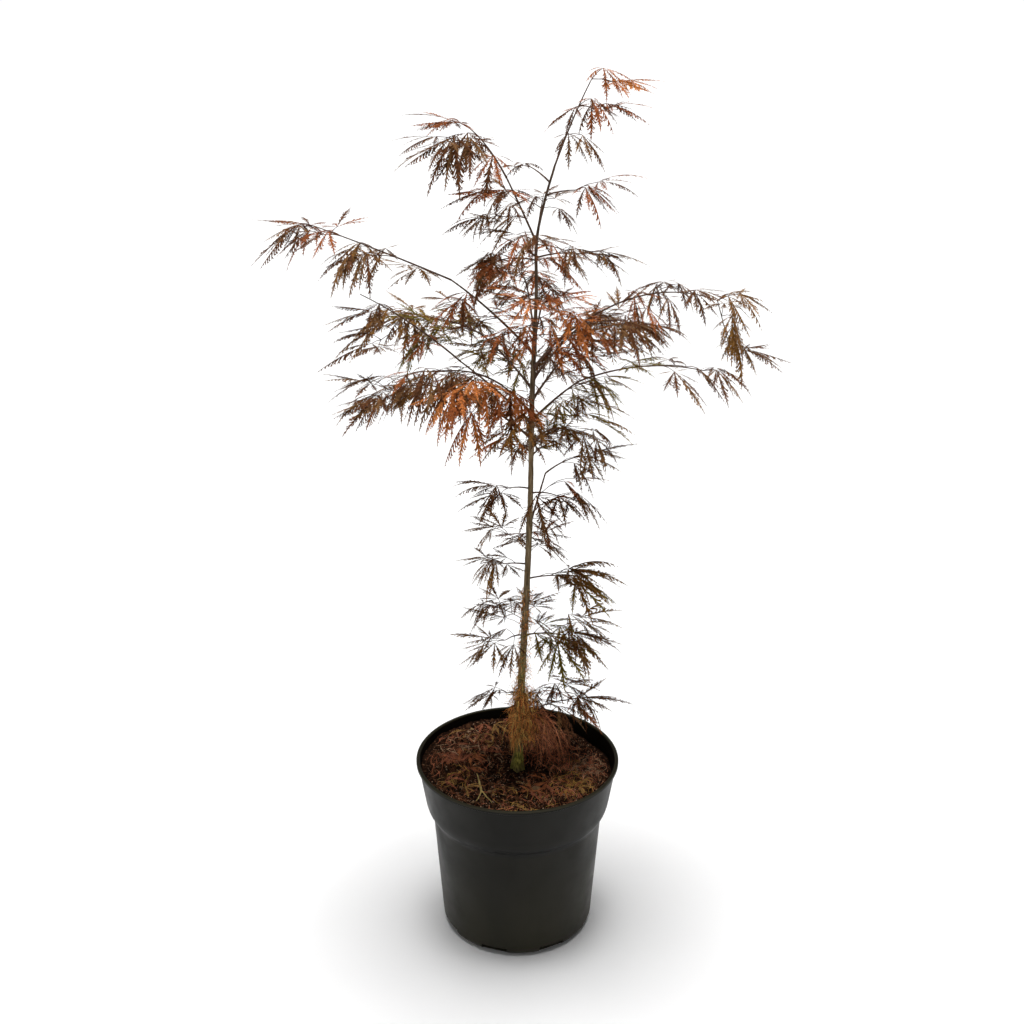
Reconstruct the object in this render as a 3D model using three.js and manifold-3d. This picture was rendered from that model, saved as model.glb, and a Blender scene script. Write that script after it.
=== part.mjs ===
// A young laceleaf maple in a round nursery pot.
//
// Units are millimetres and degrees. +Z is up, -Y is the front and +X is to the right.
// The origin is the centre of the pot's flat underside.
//
// The trunk rises from the soil to the tip of the leader. Boughs leave the trunk and bow under their
// weight. Each foliage mass grows on from a bough's tip, or straight from the trunk: a stem with pairs of
// drooping, finely cut leaves, placed by a seeded rule. A mass keeps to its own space, and what would
// leave it or touch a limb is skipped.

import * as THREE from "three";
import { mergeVertices } from "three/addons/utils/BufferGeometryUtils.js";
import Module from "manifold-3d";

const wasm = await Module();
wasm.setup();

// ---------------------------------------------------------------------------------------------------
// Driving dimensions
// ---------------------------------------------------------------------------------------------------

const SEAT_GAP = 0.3; // clearance where one solid meets the next
const MERGE_DISTANCE = 1e-4; // corners nearer than this are one

const POT = {
  height: 173,
  rimRadius: 95,
  lipHeight: 3.2,
  lipWidth: 1.9,
  lipEdge: 0.6, // bevel of its edges
  bandHeight: 48,
  bandFootRadius: 85.7,
  shoulderHeight: 7,
  wallTopRadius: 80,
  baseRadius: 72,
  baseRounding: 8.5,
  roundingSteps: 2,
  wall: 2,
  facets: 48,
  drainHoles: 8,
  drainWidth: 20,
  drainHeight: 4.5,
  drainDepth: 13,
  drainTurn: 252, // heading of the first drain hole
};

const SOIL = {
  level: 160, // flat round the trunk's foot
  edgeDrop: 4,
  flatRadius: 14,
  rings: 4,
  roughness: 2.4,
};

const TRUNK = {
  // heights of the axis, with how far it has leaned to the right and to the back
  axis: [
    [0, 0, SOIL.level - 6],
    [3, 1, 232],
    [8, 2, 340],
    [11, 0, 430],
    [12, -2, 520],
    [15, 0, 606],
    [15, 2, 652],
    [21, 3, 684],
    [29, 4, 712],
  ],
  footRadius: 3.8,
  tipRadius: 0.9,
  flare: 2.6,
  flareHeight: 18,
  sides: 9,
  steps: 20,
  samples: 240, // points on the line that heights are looked up on
};

// Each bough leaves the trunk at a height, on a heading (0 right, 90 back, 180 left, 270 front) and with
// a climb above the level, and its tip sags below that straight line.
const BOUGH = { sides: 5, steps: 4, tipRadius: 0.9 };
const BOUGHS = {
  top_left_shoot: { height: 652, heading: 180, climb: 66, length: 60, sag: 3, radius: 0.9 },
  left_upper_bough: { height: 560, heading: 178, climb: 48, length: 102, sag: 14, radius: 1.1 },
  left_middle_bough: { height: 500, heading: 180, climb: 46, length: 86, sag: 8, radius: 1.15 },
  left_lower_bough: { height: 486, heading: 206, climb: 44, length: 74, sag: 10, radius: 1.1 },
  front_left_bough: { height: 508, heading: 228, climb: 46, length: 58, sag: 7, radius: 1.05 },
  front_bough: { height: 566, heading: 276, climb: 50, length: 54, sag: 6, radius: 1.0 },
  front_right_bough: { height: 548, heading: 312, climb: 48, length: 62, sag: 8, radius: 1.05 },
  right_upper_bough: { height: 538, heading: 4, climb: 55, length: 84, sag: 16, radius: 1.15 },
  right_middle_bough: { height: 502, heading: 352, climb: 48, length: 60, sag: 8, radius: 1.1 },
  right_lower_bough: { height: 482, heading: 322, climb: 46, length: 30, sag: 5, radius: 1.0 },
  back_right_bough: { height: 520, heading: 48, climb: 40, length: 76, sag: 9, radius: 1.1 },
  back_bough: { height: 574, heading: 96, climb: 36, length: 66, sag: 8, radius: 1.05 },
  back_left_bough: { height: 530, heading: 136, climb: 38, length: 74, sag: 9, radius: 1.1 },
  side_shoot: { height: 404, heading: 15, climb: 74, length: 52, sag: 1, radius: 1.0 },
};

// Each mass of foliage grows on from the limb it names, turned and lifted from that limb's end, or leaves
// the trunk at a height. `leaf` is the length of the longest lobe, and `droop` turns leaves further down.
const MASSES = {
  leader_tip: { on: "trunk", lift: -4, length: 84, sag: 12, leaf: 48, finish: "russet" },
  leader_side: { height: 690, heading: 344, climb: 20, length: 26, sag: 4, leaf: 46, finish: "plum" },
  leader_back: { height: 700, heading: 150, climb: 40, length: 24, sag: 4, leaf: 40, finish: "plum" },
  top_left: { on: "top_left_shoot", lift: -2, length: 62, sag: 16, leaf: 50, finish: "plum" },
  top_right: { height: 640, heading: 338, climb: 20, length: 40, sag: 8, leaf: 42, finish: "plum" },
  top_low: { height: 638, heading: 204, climb: 16, length: 32, sag: 6, leaf: 46, finish: "plum" },
  top_back: { height: 664, heading: 84, climb: 34, length: 44, sag: 8, leaf: 44, finish: "plum" },
  top_front: { height: 644, heading: 268, climb: 36, length: 36, sag: 6, leaf: 42, finish: "plum" },
  left_upper: { on: "left_upper_bough", lift: -12, length: 122, sag: 4, leaf: 48, finish: "bronze" },
  left_middle: { on: "left_middle_bough", lift: 4, length: 110, sag: 16, leaf: 50, finish: "plum" },
  left_lower: { on: "left_lower_bough", turn: -16, length: 82, sag: 30, leaf: 52, finish: "bronze" },
  front_left: { on: "front_left_bough", turn: -20, length: 60, sag: 18, droop: -8, leaf: 54, finish: "rust" },
  front: { on: "front_bough", length: 44, sag: 12, leaf: 46, finish: "rust" },
  front_right: { on: "front_right_bough", turn: 14, length: 42, sag: 12, leaf: 48, finish: "rust" },
  right_upper: {
    on: "right_upper_bough",
    lift: -6,
    length: 124,
    sag: 52,
    droop: -20,
    leaf: 50,
    finish: "russet",
  },
  right_middle: { on: "right_middle_bough", lift: -12, length: 112, sag: 32, leaf: 44, finish: "olive" },
  right_lower: { on: "right_lower_bough", lift: -10, length: 30, sag: 8, leaf: 46, finish: "bronze" },
  back_right: { on: "back_right_bough", lift: -8, length: 74, sag: 20, leaf: 50, finish: "plum" },
  back: { on: "back_bough", lift: -4, length: 60, sag: 18, leaf: 48, finish: "bronze" },
  back_left: { on: "back_left_bough", lift: -8, length: 76, sag: 20, leaf: 50, finish: "plum" },
  inner_left: { height: 478, heading: 166, climb: 20, length: 18, sag: 5, leaf: 44, finish: "olive" },
  inner_right: { height: 470, heading: 50, climb: 24, length: 30, sag: 6, leaf: 44, finish: "olive" },
  middle_right: { on: "side_shoot", turn: -10, lift: -34, length: 34, sag: 8, leaf: 50, finish: "plum" },
  middle_left: { height: 440, heading: 206, climb: 22, length: 24, sag: 5, leaf: 50, finish: "plum" },
  middle_low: { height: 436, heading: 318, climb: 22, length: 32, sag: 7, leaf: 50, finish: "plum" },
  middle_back: { height: 450, heading: 92, climb: 30, length: 40, sag: 7, leaf: 50, finish: "bronze" },
  lower_left: { height: 368, heading: 186, climb: 12, length: 22, sag: 3, leaf: 42, finish: "plum" },
  lower_right: { height: 354, heading: 356, climb: 16, length: 32, sag: 5, leaf: 58, finish: "olive" },
  lower_back: { height: 372, heading: 84, climb: 26, length: 34, sag: 6, leaf: 42, finish: "bronze" },
  low_left: { height: 298, heading: 190, climb: 14, length: 18, sag: 8, leaf: 42, finish: "plum" },
  low_right: { height: 298, heading: 350, climb: 18, length: 36, sag: 8, leaf: 54, finish: "olive" },
  low_back: { height: 300, heading: 92, climb: 26, length: 34, sag: 6, leaf: 42, finish: "bronze" },
  foot_left: { height: 238, heading: 172, climb: 26, length: 14, sag: 6, leaf: 36, finish: "bronze" },
  foot_right: { height: 214, heading: 12, climb: 36, length: 54, sag: 14, leaf: 44, finish: "bronze" },
  foot_front: { height: 236, heading: 262, climb: 14, length: 18, sag: 2, leaf: 38, finish: "straw" },
};

const GROWTH = {
  firstSeed: 11,
  pairSpacing: 27, // along a stem, between pairs of leaves
  stemRadius: 0.95,
  stemTipRadius: 0.7,
  stemStep: 24, // length of a straight piece of stem
  stalkRadius: 0.6,
  stalkLength: [13, 20],
  stalkSpread: [48, 76], // away from the stem's own heading
  endSpread: [30, 46], // the last pair
  stalkClimb: [0, 26],
  twigLength: [18, 30],
  twigSag: 1 / 8, // of its length
  tries: 4, // before a leaf is given up
  swing: [-24, 24], // degrees that a further try turns the leaf
  sizeSpread: [0.84, 1.08],
  sides: 3,
  tidyTo: 0.05, // corners closer than this are merged after fusing
};

const LEAF = {
  fan: 45, // between neighbouring lobes
  lobeShares: [0.66, 0.9, 1, 0.9, 0.66], // of the longest lobe, across the leaf
  tilt: [-24, 48], // of the blade, down along the leaf's own heading
  bend: [14, 46], // by which a lobe's tip hangs steeper than its start
  steepest: -92,
  headingJitter: 8, // of a lobe, in degrees to either side
  pitchJitter: 10,
  lengthSpread: [0.9, 1.1],
  lobeTrims: [1, 0.8, 0.62], // a lobe that doesn't fit is shortened before it is skipped
  widthShare: 0.17, // of the lobe's length
  widestAt: 0.42, // of the way along it
  thickness: 1.1,
  palmRadius: 0.1, // of the longest lobe
  palmThickness: 1.8,
  palmDip: -20, // slope from the palm down to the notches between lobes
  sampleShares: [0.28, 0.45, 0.63, 0.82, 1], // where a lobe is tested for room
  fewestLobes: 3,
};

// The room that a mass keeps: nearer to its own hanging leaves than to any other mass's.
const SPACE = {
  hang: 20, // of a mass's leaves below its stem
  margin: 0.8, // kept between two masses' rooms
  limbGap: 1.2,
  leafGap: 5.4, // between the mid-lines of two leaves of one mass
  reach: 110, // from a stem, within which its leaves may meet other solids
  samples: 6, // straight pieces in the lines that distances are taken to
};

const FINISHES = {
  pot: { color: "#262724", roughness: 0.55 },
  soil: { color: "#3a2218", roughness: 1 },
  bark: { color: "#5a4a3a", roughness: 0.85 },
  twig: { color: "#4c352b", roughness: 0.8 },
  plum: { color: "#4a3430", roughness: 0.8 },
  bronze: { color: "#5c4630", roughness: 0.8 },
  olive: { color: "#5b5534", roughness: 0.8 },
  russet: { color: "#6e4030", roughness: 0.8 },
  rust: { color: "#8c4a26", roughness: 0.8 },
  straw: { color: "#7c5a32", roughness: 0.9 },
};

// ---------------------------------------------------------------------------------------------------
// Small helpers
// ---------------------------------------------------------------------------------------------------

const radians = THREE.MathUtils.degToRad;
const lerp = THREE.MathUtils.lerp;
const UP = new THREE.Vector3(0, 0, 1);

function direction(heading, climb) {
  const level = Math.cos(radians(climb));
  return new THREE.Vector3(
    level * Math.cos(radians(heading)),
    level * Math.sin(radians(heading)),
    Math.sin(radians(climb)),
  );
}

function headingOf(vector) {
  return THREE.MathUtils.radToDeg(Math.atan2(vector.y, vector.x));
}

function climbOf(vector) {
  return THREE.MathUtils.radToDeg(Math.atan2(vector.z, Math.hypot(vector.x, vector.y)));
}

// Repeatable numbers: a 32-bit linear congruential generator.
function seededDraws(seed) {
  let state = seed >>> 0;
  return ([low, high]) => {
    state = (Math.imul(state, 1664525) + 1013904223) >>> 0;
    return low + ((high - low) * state) / 2 ** 32;
  };
}

// A limb's axis: straight along its heading and climb, less a sag that grows with the square of the way.
function bowedAxis(start, heading, climb, length, sag) {
  const reach = direction(heading, climb).multiplyScalar(length);
  const middle = start.clone().addScaledVector(reach, 0.5);
  const end = start.clone().add(reach).addScaledVector(UP, -sag);
  return new THREE.QuadraticBezierCurve3(start.clone(), middle, end);
}

function distanceToSegment(point, a, b) {
  const along = b.clone().sub(a);
  const share = point.clone().sub(a).dot(along) / along.lengthSq();
  return along.multiplyScalar(THREE.MathUtils.clamp(share, 0, 1)).add(a).distanceTo(point);
}

function distanceToLine(point, line) {
  let nearest = Infinity;
  for (let i = 1; i < line.length; i++) {
    nearest = Math.min(nearest, distanceToSegment(point, line[i - 1], line[i]));
  }
  return nearest;
}

function geometryOf(positions, index) {
  const geometry = new THREE.BufferGeometry();
  geometry.setAttribute("position", new THREE.Float32BufferAttribute(positions, 3));
  geometry.setIndex(index);
  return geometry;
}

// Lathe outlines turn about Y, so their geometry is stood up on Z.
function standUp(geometry) {
  return geometry.rotateX(Math.PI / 2);
}

function toSolid(geometry) {
  const bare = geometry.clone();
  bare.deleteAttribute("normal");
  bare.deleteAttribute("uv");
  const merged = mergeVertices(bare, MERGE_DISTANCE);
  return new wasm.Manifold(
    new wasm.Mesh({
      numProp: 3,
      vertProperties: merged.attributes.position.array,
      triVerts: new Uint32Array(merged.index.array),
    }),
  );
}

function toGeometry(solid) {
  const mesh = solid.getMesh();
  const geometry = geometryOf(Array.from(mesh.vertProperties), Array.from(mesh.triVerts));
  geometry.computeVertexNormals();
  return geometry;
}

// A round closed tube along a curve, whose radius is given for each share of the way.
function taperedTube(curve, radiusAt, steps, sides) {
  const frames = curve.computeFrenetFrames(steps, false);
  const positions = [];
  const index = [];
  const corner = (ring, side) => ring * sides + (side % sides);
  for (let ring = 0; ring <= steps; ring++) {
    const share = ring / steps;
    const centre = curve.getPointAt(share);
    for (let side = 0; side < sides; side++) {
      const turn = (2 * Math.PI * side) / sides;
      const spoke = frames.normals[ring].clone().multiplyScalar(Math.cos(turn));
      spoke.addScaledVector(frames.binormals[ring], Math.sin(turn));
      positions.push(...centre.clone().addScaledVector(spoke, radiusAt(share)).toArray());
    }
  }
  for (let ring = 0; ring < steps; ring++) {
    for (let side = 0; side < sides; side++) {
      const a = corner(ring, side);
      const b = corner(ring, side + 1);
      const c = corner(ring + 1, side + 1);
      const d = corner(ring + 1, side);
      index.push(a, b, c, a, c, d);
    }
  }
  for (let side = 1; side < sides - 1; side++) {
    index.push(corner(0, 0), corner(0, side + 1), corner(0, side));
    index.push(corner(steps, 0), corner(steps, side), corner(steps, side + 1));
  }
  return geometryOf(positions, index);
}

// ---------------------------------------------------------------------------------------------------
// Pot and soil
// ---------------------------------------------------------------------------------------------------

const BAND_TOP_RADIUS = POT.rimRadius - POT.lipWidth;
const LIP_FOOT = POT.height - POT.lipHeight;
const BAND_FOOT = POT.height - POT.bandHeight;
const WALL_TOP = BAND_FOOT - POT.shoulderHeight;

// The outline of the pot's wall from the edge of its base up to the band, moved inwards by `inset`.
function wallOutline(inset) {
  const outline = [];
  for (let i = 0; i <= POT.roundingSteps; i++) {
    const turn = (Math.PI / 2) * (i / POT.roundingSteps);
    outline.push(
      new THREE.Vector2(
        POT.baseRadius - POT.baseRounding + (POT.baseRounding - inset) * Math.sin(turn),
        POT.baseRounding - (POT.baseRounding - inset) * Math.cos(turn),
      ),
    );
  }
  outline.push(new THREE.Vector2(POT.wallTopRadius - inset, WALL_TOP));
  outline.push(new THREE.Vector2(POT.bandFootRadius - inset, BAND_FOOT));
  outline.push(new THREE.Vector2(BAND_TOP_RADIUS - inset, LIP_FOOT));
  return outline;
}

function drainHole(turn) {
  const hole = new THREE.BoxGeometry(POT.drainDepth, POT.drainWidth, 2 * POT.drainHeight);
  hole.translate(POT.baseRadius, 0, 0);
  hole.rotateZ(radians(turn));
  return toSolid(hole);
}

function makePot() {
  const outside = wallOutline(0);
  const inside = wallOutline(POT.wall).reverse();
  const outline = [
    new THREE.Vector2(0, 0),
    ...outside,
    new THREE.Vector2(POT.rimRadius, LIP_FOOT + POT.lipEdge),
    new THREE.Vector2(POT.rimRadius, POT.height - POT.lipEdge),
    new THREE.Vector2(POT.rimRadius - POT.lipEdge, POT.height),
    new THREE.Vector2(BAND_TOP_RADIUS - POT.wall, POT.height),
    ...inside,
    new THREE.Vector2(0, POT.wall),
  ];
  let pot = toSolid(standUp(new THREE.LatheGeometry(outline, POT.facets)));
  for (let i = 0; i < POT.drainHoles; i++) {
    pot = pot.subtract(drainHole(POT.drainTurn + (360 * i) / POT.drainHoles));
  }
  return toGeometry(pot);
}

// The fine hills of the soil's surface.
function soilHill(x, y) {
  const waves = Math.sin(x / 11 + 1) * Math.cos(y / 14) + 0.7 * Math.sin((x + 2 * y) / 17);
  const fromFoot = THREE.MathUtils.smoothstep(Math.hypot(x, y), SOIL.flatRadius, 3 * SOIL.flatRadius);
  return SOIL.roughness * waves * fromFoot;
}

function makeSoil() {
  const inset = POT.wall + SEAT_GAP;
  const wall = wallOutline(inset);
  const bandTop = wall.pop();
  const bandFoot = wall.at(-1);
  const edgeLevel = SOIL.level - SOIL.edgeDrop;
  const upBand = (edgeLevel - bandFoot.y) / (bandTop.y - bandFoot.y);
  const edgeRadius = lerp(bandFoot.x, bandTop.x, upBand);
  const surface = [];
  for (let i = SOIL.rings; i >= 0; i--) {
    const out = i / SOIL.rings;
    surface.push(
      new THREE.Vector2(
        lerp(SOIL.flatRadius, edgeRadius, out),
        lerp(SOIL.level, edgeLevel, out * out),
      ),
    );
  }
  const outline = [
    new THREE.Vector2(0, inset),
    ...wall,
    ...surface,
    new THREE.Vector2(0, SOIL.level),
  ];
  const soil = standUp(new THREE.LatheGeometry(outline, POT.facets / 2));
  const position = soil.attributes.position;
  for (let i = 0; i < position.count; i++) {
    const [x, y, z] = [position.getX(i), position.getY(i), position.getZ(i)];
    const onSurface = z > edgeLevel - MERGE_DISTANCE && Math.hypot(x, y) < edgeRadius - SEAT_GAP;
    if (onSurface) position.setZ(i, z + soilHill(x, y));
  }
  return toGeometry(toSolid(soil));
}

// ---------------------------------------------------------------------------------------------------
// Trunk and boughs
// ---------------------------------------------------------------------------------------------------

const trunkAxis = new THREE.CatmullRomCurve3(
  TRUNK.axis.map((place) => new THREE.Vector3(...place)),
  false,
  "catmullrom",
  0.5,
);
const trunkLine = trunkAxis.getPoints(TRUNK.samples);

function trunkAt(height) {
  const after = trunkLine.findIndex((point) => point.z >= height);
  const [low, high] = [trunkLine[after - 1], trunkLine[after]];
  return low.clone().lerp(high, (height - low.z) / (high.z - low.z));
}

function trunkRadius(height) {
  const top = trunkLine.at(-1).z;
  const left = THREE.MathUtils.clamp((top - height) / (top - SOIL.level), 0, 1);
  const flare = TRUNK.flare * Math.exp((SOIL.level - height) / TRUNK.flareHeight);
  return lerp(TRUNK.tipRadius, TRUNK.footRadius, left) + flare;
}

function trunkSolid(extra) {
  const radiusAt = (share) => trunkRadius(trunkAxis.getPointAt(share).z) + extra;
  return toSolid(taperedTube(trunkAxis, radiusAt, TRUNK.steps, TRUNK.sides));
}

function makeTrunk() {
  const deep = 2 * POT.rimRadius;
  const ground = new THREE.BoxGeometry(deep, deep, deep);
  ground.translate(0, 0, SOIL.level + SEAT_GAP - deep / 2);
  return trunkSolid(0).subtract(toSolid(ground));
}

function growBough(name, bough) {
  const start = trunkAt(bough.height);
  const axis = bowedAxis(start, bough.heading, bough.climb, bough.length, bough.sag);
  const line = axis.getPoints(SPACE.samples);
  return { name, axis, line, radius: bough.radius };
}

function boughSolid({ axis, radius }) {
  const radiusAt = (share) => lerp(radius, BOUGH.tipRadius, share);
  return toSolid(taperedTube(axis, radiusAt, BOUGH.steps, BOUGH.sides));
}

// ---------------------------------------------------------------------------------------------------
// Foliage
// ---------------------------------------------------------------------------------------------------

const boughs = Object.entries(BOUGHS).map(([name, bough]) => growBough(name, bough));

// Where a mass's stem starts and how it runs.
function stemOf(name, mass) {
  if (!mass.on) {
    const start = trunkAt(mass.height);
    const axis = bowedAxis(start, mass.heading, mass.climb, mass.length, mass.sag);
    return { name, axis, onTrunk: true };
  }
  const limbAxis = mass.on === "trunk" ? trunkAxis : boughs.find((one) => one.name === mass.on).axis;
  const tangent = limbAxis.getTangent(1);
  const heading = headingOf(tangent) + (mass.turn ?? 0);
  const climb = climbOf(tangent) + (mass.lift ?? 0);
  const tilt = direction(heading, climb).angleTo(tangent);
  const clearance = SEAT_GAP + GROWTH.stemRadius * Math.sin(tilt);
  const start = limbAxis.getPoint(1).addScaledVector(tangent, clearance);
  return { name, axis: bowedAxis(start, heading, climb, mass.length, mass.sag), onTrunk: false };
}

const stems = Object.entries(MASSES).map(([name, mass]) => {
  const stem = stemOf(name, mass);
  const line = stem.axis.getPoints(SPACE.samples);
  const spine = line.map((point) => point.clone().addScaledVector(UP, -SPACE.hang));
  return { ...stem, line, spine, lobePoints: [] };
});

// True where a point lies in a mass's own space and clear of every limb and of the other masses' stems.
function isFree(point, own) {
  const inside = distanceToLine(point, own.spine) + SPACE.margin;
  const trunkGap = distanceToLine(point, trunkLine) - trunkRadius(point.z);
  return (
    trunkGap > SPACE.limbGap &&
    boughs.every((bough) => distanceToLine(point, bough.line) > bough.radius + SPACE.limbGap) &&
    stems.every(
      (other) =>
        other === own ||
        (distanceToLine(point, other.spine) > inside &&
          distanceToLine(point, other.line) > GROWTH.stemRadius + SPACE.limbGap),
    )
  );
}

// True where a point is clear of the leaves and the stem that its own mass already has.
function isUncrowded(point, own) {
  return (
    distanceToLine(point, own.line) > GROWTH.stemRadius + SPACE.limbGap &&
    own.lobePoints.every((taken) => taken.distanceTo(point) > SPACE.leafGap)
  );
}

// A point on a lobe's mid-line. The lobe leaves the palm at one pitch and bends evenly to another.
function lobePoint(palm, lobe, share) {
  const [from, to] = [radians(lobe.startPitch), radians(lobe.endPitch)];
  const now = lerp(from, to, share);
  const out = (lobe.length * (Math.sin(now) - Math.sin(from))) / (to - from);
  const up = (lobe.length * (Math.cos(from) - Math.cos(now))) / (to - from);
  return palm.clone().addScaledVector(direction(lobe.heading, 0), out).addScaledVector(UP, up);
}

function lobeSide(lobe) {
  return direction(lobe.heading + 90, 0).multiplyScalar((lobe.length * LEAF.widthShare) / 2);
}

function lobeSamples(palm, lobe) {
  return LEAF.sampleShares.map((share) => lobePoint(palm, lobe, share));
}

function lobeFits(palm, lobe, stem) {
  const side = lobeSide(lobe);
  const wide = lobePoint(palm, lobe, LEAF.widestAt);
  const midLine = lobeSamples(palm, lobe);
  const edges = [wide.clone().add(side), wide.clone().sub(side)];
  return (
    midLine.every((point) => isUncrowded(point, stem)) &&
    [...midLine, ...edges].every((point) => isFree(point, stem))
  );
}

// One try at a leaf: its stalk from the node to the palm, and the lobes that fit in the mass's space.
function tryLeaf(node, heading, mass, stem, draw) {
  const size = mass.leaf * draw(GROWTH.sizeSpread);
  const droop = mass.droop ?? 0;
  const stalk = direction(heading, draw(GROWTH.stalkClimb)).multiplyScalar(draw(GROWTH.stalkLength));
  const palm = node.clone().add(stalk);
  const tilt = draw(LEAF.tilt) - droop;
  const bend = draw(LEAF.bend);
  const middle = (LEAF.lobeShares.length - 1) / 2;
  const jitter = (most) => draw([-most, most]);
  const lobes = [];
  LEAF.lobeShares.forEach((share, i) => {
    const turn = (i - middle) * LEAF.fan;
    const startPitch = jitter(LEAF.pitchJitter) - tilt * Math.cos(radians(turn));
    const endPitch = startPitch - bend;
    const lobe = {
      heading: heading + turn + jitter(LEAF.headingJitter),
      startPitch,
      endPitch: Math.max(endPitch, LEAF.steepest),
    };
    const length = size * share * draw(LEAF.lengthSpread);
    const lengths = LEAF.lobeTrims.map((trim) => length * trim);
    lobe.length = lengths.find((one) => lobeFits(palm, { ...lobe, length: one }, stem));
    if (lobe.length) lobes.push(lobe);
  });
  const stalkIsFree = [0.5, 1].every((share) => isFree(node.clone().lerp(palm, share), stem));
  return stalkIsFree && lobes.length >= LEAF.fewestLobes ? { node, palm, heading, lobes } : null;
}

function planLeaf(node, heading, mass, stem, draw) {
  let turned = heading;
  for (let attempt = 0; attempt < GROWTH.tries; attempt++) {
    const leaf = tryLeaf(node, turned, mass, stem, draw);
    if (leaf) {
      leaf.lobes.forEach((lobe) => stem.lobePoints.push(...lobeSamples(leaf.palm, lobe)));
      return leaf;
    }
    turned = heading + draw(GROWTH.swing);
  }
  return null;
}

// Decides a whole mass: pairs of leaves along the stem, a side twig at every second node, and an end leaf.
function planMass(stem, mass, seed) {
  const draw = seededDraws(seed);
  const twigs = [];
  const leaves = [];
  const addLeaf = (node, heading) => {
    const leaf = planLeaf(node, heading, mass, stem, draw);
    if (leaf) leaves.push(leaf);
  };
  const pairs = Math.max(1, Math.round(mass.length / GROWTH.pairSpacing));
  for (let pair = 1; pair <= pairs; pair++) {
    const node = stem.axis.getPoint(pair / pairs);
    const heading = headingOf(stem.axis.getTangent(pair / pairs));
    const spread = pair === pairs ? GROWTH.endSpread : GROWTH.stalkSpread;
    for (const side of [-1, 1]) {
      const away = heading + side * draw(spread);
      const forks = pair < pairs && (pair % 2 === 1) === side > 0;
      if (forks) {
        const length = draw(GROWTH.twigLength);
        const twig = bowedAxis(node, away, draw(GROWTH.stalkClimb), length, length * GROWTH.twigSag);
        const end = twig.getPoint(1);
        if (isFree(end, stem) && isFree(twig.getPoint(0.5), stem)) {
          twigs.push(twig);
          addLeaf(end, away - draw(GROWTH.endSpread));
          addLeaf(end, away + draw(GROWTH.endSpread));
          continue;
        }
      }
      addLeaf(node, away);
    }
    if (pair === pairs) addLeaf(node, heading);
  }
  return { twigs, leaves };
}

// A leaf as one closed body: a three-sided stalk that widens to a thin palm, and a flat, pointed and
// drooping blade for each lobe.
function leafSolid({ node, palm, heading, lobes }, size) {
  const positions = [];
  const index = [];
  const add = (point) => positions.push(...point.toArray()) / 3 - 1;
  const palmRadius = size * LEAF.palmRadius;
  const above = UP.clone().multiplyScalar(LEAF.palmThickness / 2);
  const top = add(palm.clone().add(above));
  const bottom = add(palm.clone().sub(above));
  const notchAt = (turn) => add(palm.clone().addScaledVector(direction(turn, LEAF.palmDip), palmRadius));
  const notches = [notchAt(lobes[0].heading - LEAF.fan / 2)];
  lobes.forEach((lobe, i) => {
    const next = lobes[i + 1];
    const beyond = next ? (lobe.heading + next.heading) / 2 : lobe.heading + LEAF.fan / 2;
    notches.push(notchAt(beyond));
    const wide = lobePoint(palm, lobe, LEAF.widestAt);
    const pitch = lerp(lobe.startPitch, lobe.endPitch, LEAF.widestAt);
    const lift = direction(lobe.heading, pitch + 90).multiplyScalar(LEAF.thickness / 2);
    const side = lobeSide(lobe);
    const tip = add(lobePoint(palm, lobe, 1));
    const right = add(wide.clone().sub(side));
    const left = add(wide.clone().add(side));
    const ridge = add(wide.clone().add(lift));
    const keel = add(wide.clone().sub(lift));
    const [before, after] = [notches[i], notches[i + 1]];
    const rim = [before, right, tip, left, after];
    for (let k = 1; k < rim.length; k++) {
      index.push(rim[k - 1], rim[k], ridge);
      index.push(rim[k], rim[k - 1], keel);
    }
    index.push(top, before, ridge, top, ridge, after);
    index.push(bottom, keel, before, bottom, after, keel);
  });
  const across = direction(heading + 90, 0).multiplyScalar(GROWTH.stalkRadius);
  const under = UP.clone().multiplyScalar(-GROWTH.stalkRadius);
  const stalkRing = (centre) =>
    [across.clone().negate(), across, under].map((spoke) => add(centre.clone().add(spoke)));
  const heel = palm.clone().lerp(node, palmRadius / palm.distanceTo(node));
  const [heelRight, heelLeft, heelUnder] = stalkRing(heel);
  const [footRight, footLeft, footUnder] = stalkRing(node);
  const [first, last] = [notches[0], notches.at(-1)];
  index.push(top, last, heelLeft, top, heelLeft, heelRight, top, heelRight, first);
  index.push(bottom, first, heelRight, bottom, heelRight, heelUnder);
  index.push(bottom, heelUnder, heelLeft, bottom, heelLeft, last);
  index.push(heelLeft, footLeft, heelRight, footLeft, footRight, heelRight);
  index.push(heelRight, footRight, heelUnder, footRight, footUnder, heelUnder);
  index.push(heelUnder, footUnder, heelLeft, footUnder, footLeft, heelLeft);
  index.push(footLeft, footUnder, footRight);
  return toSolid(geometryOf(positions, index));
}

function stemSolid(axis, radius) {
  const steps = Math.max(2, Math.round(axis.getLength() / GROWTH.stemStep));
  const radiusAt = (share) => lerp(radius, GROWTH.stemTipRadius, share);
  return toSolid(taperedTube(axis, radiusAt, steps, GROWTH.sides));
}

// The largest piece, in case fusing left a loose scrap.
function largestPiece(solid) {
  return solid.decompose().reduce((best, piece) => (piece.volume() > best.volume() ? piece : best));
}

// True where a solid keeps its distance from every other one. A gap is measured no further than it is wide.
function keepsClear(solid, others) {
  const least = SEAT_GAP * 0.9;
  return others.every((other) => solid.minGap(other, SEAT_GAP) >= least);
}

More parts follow.
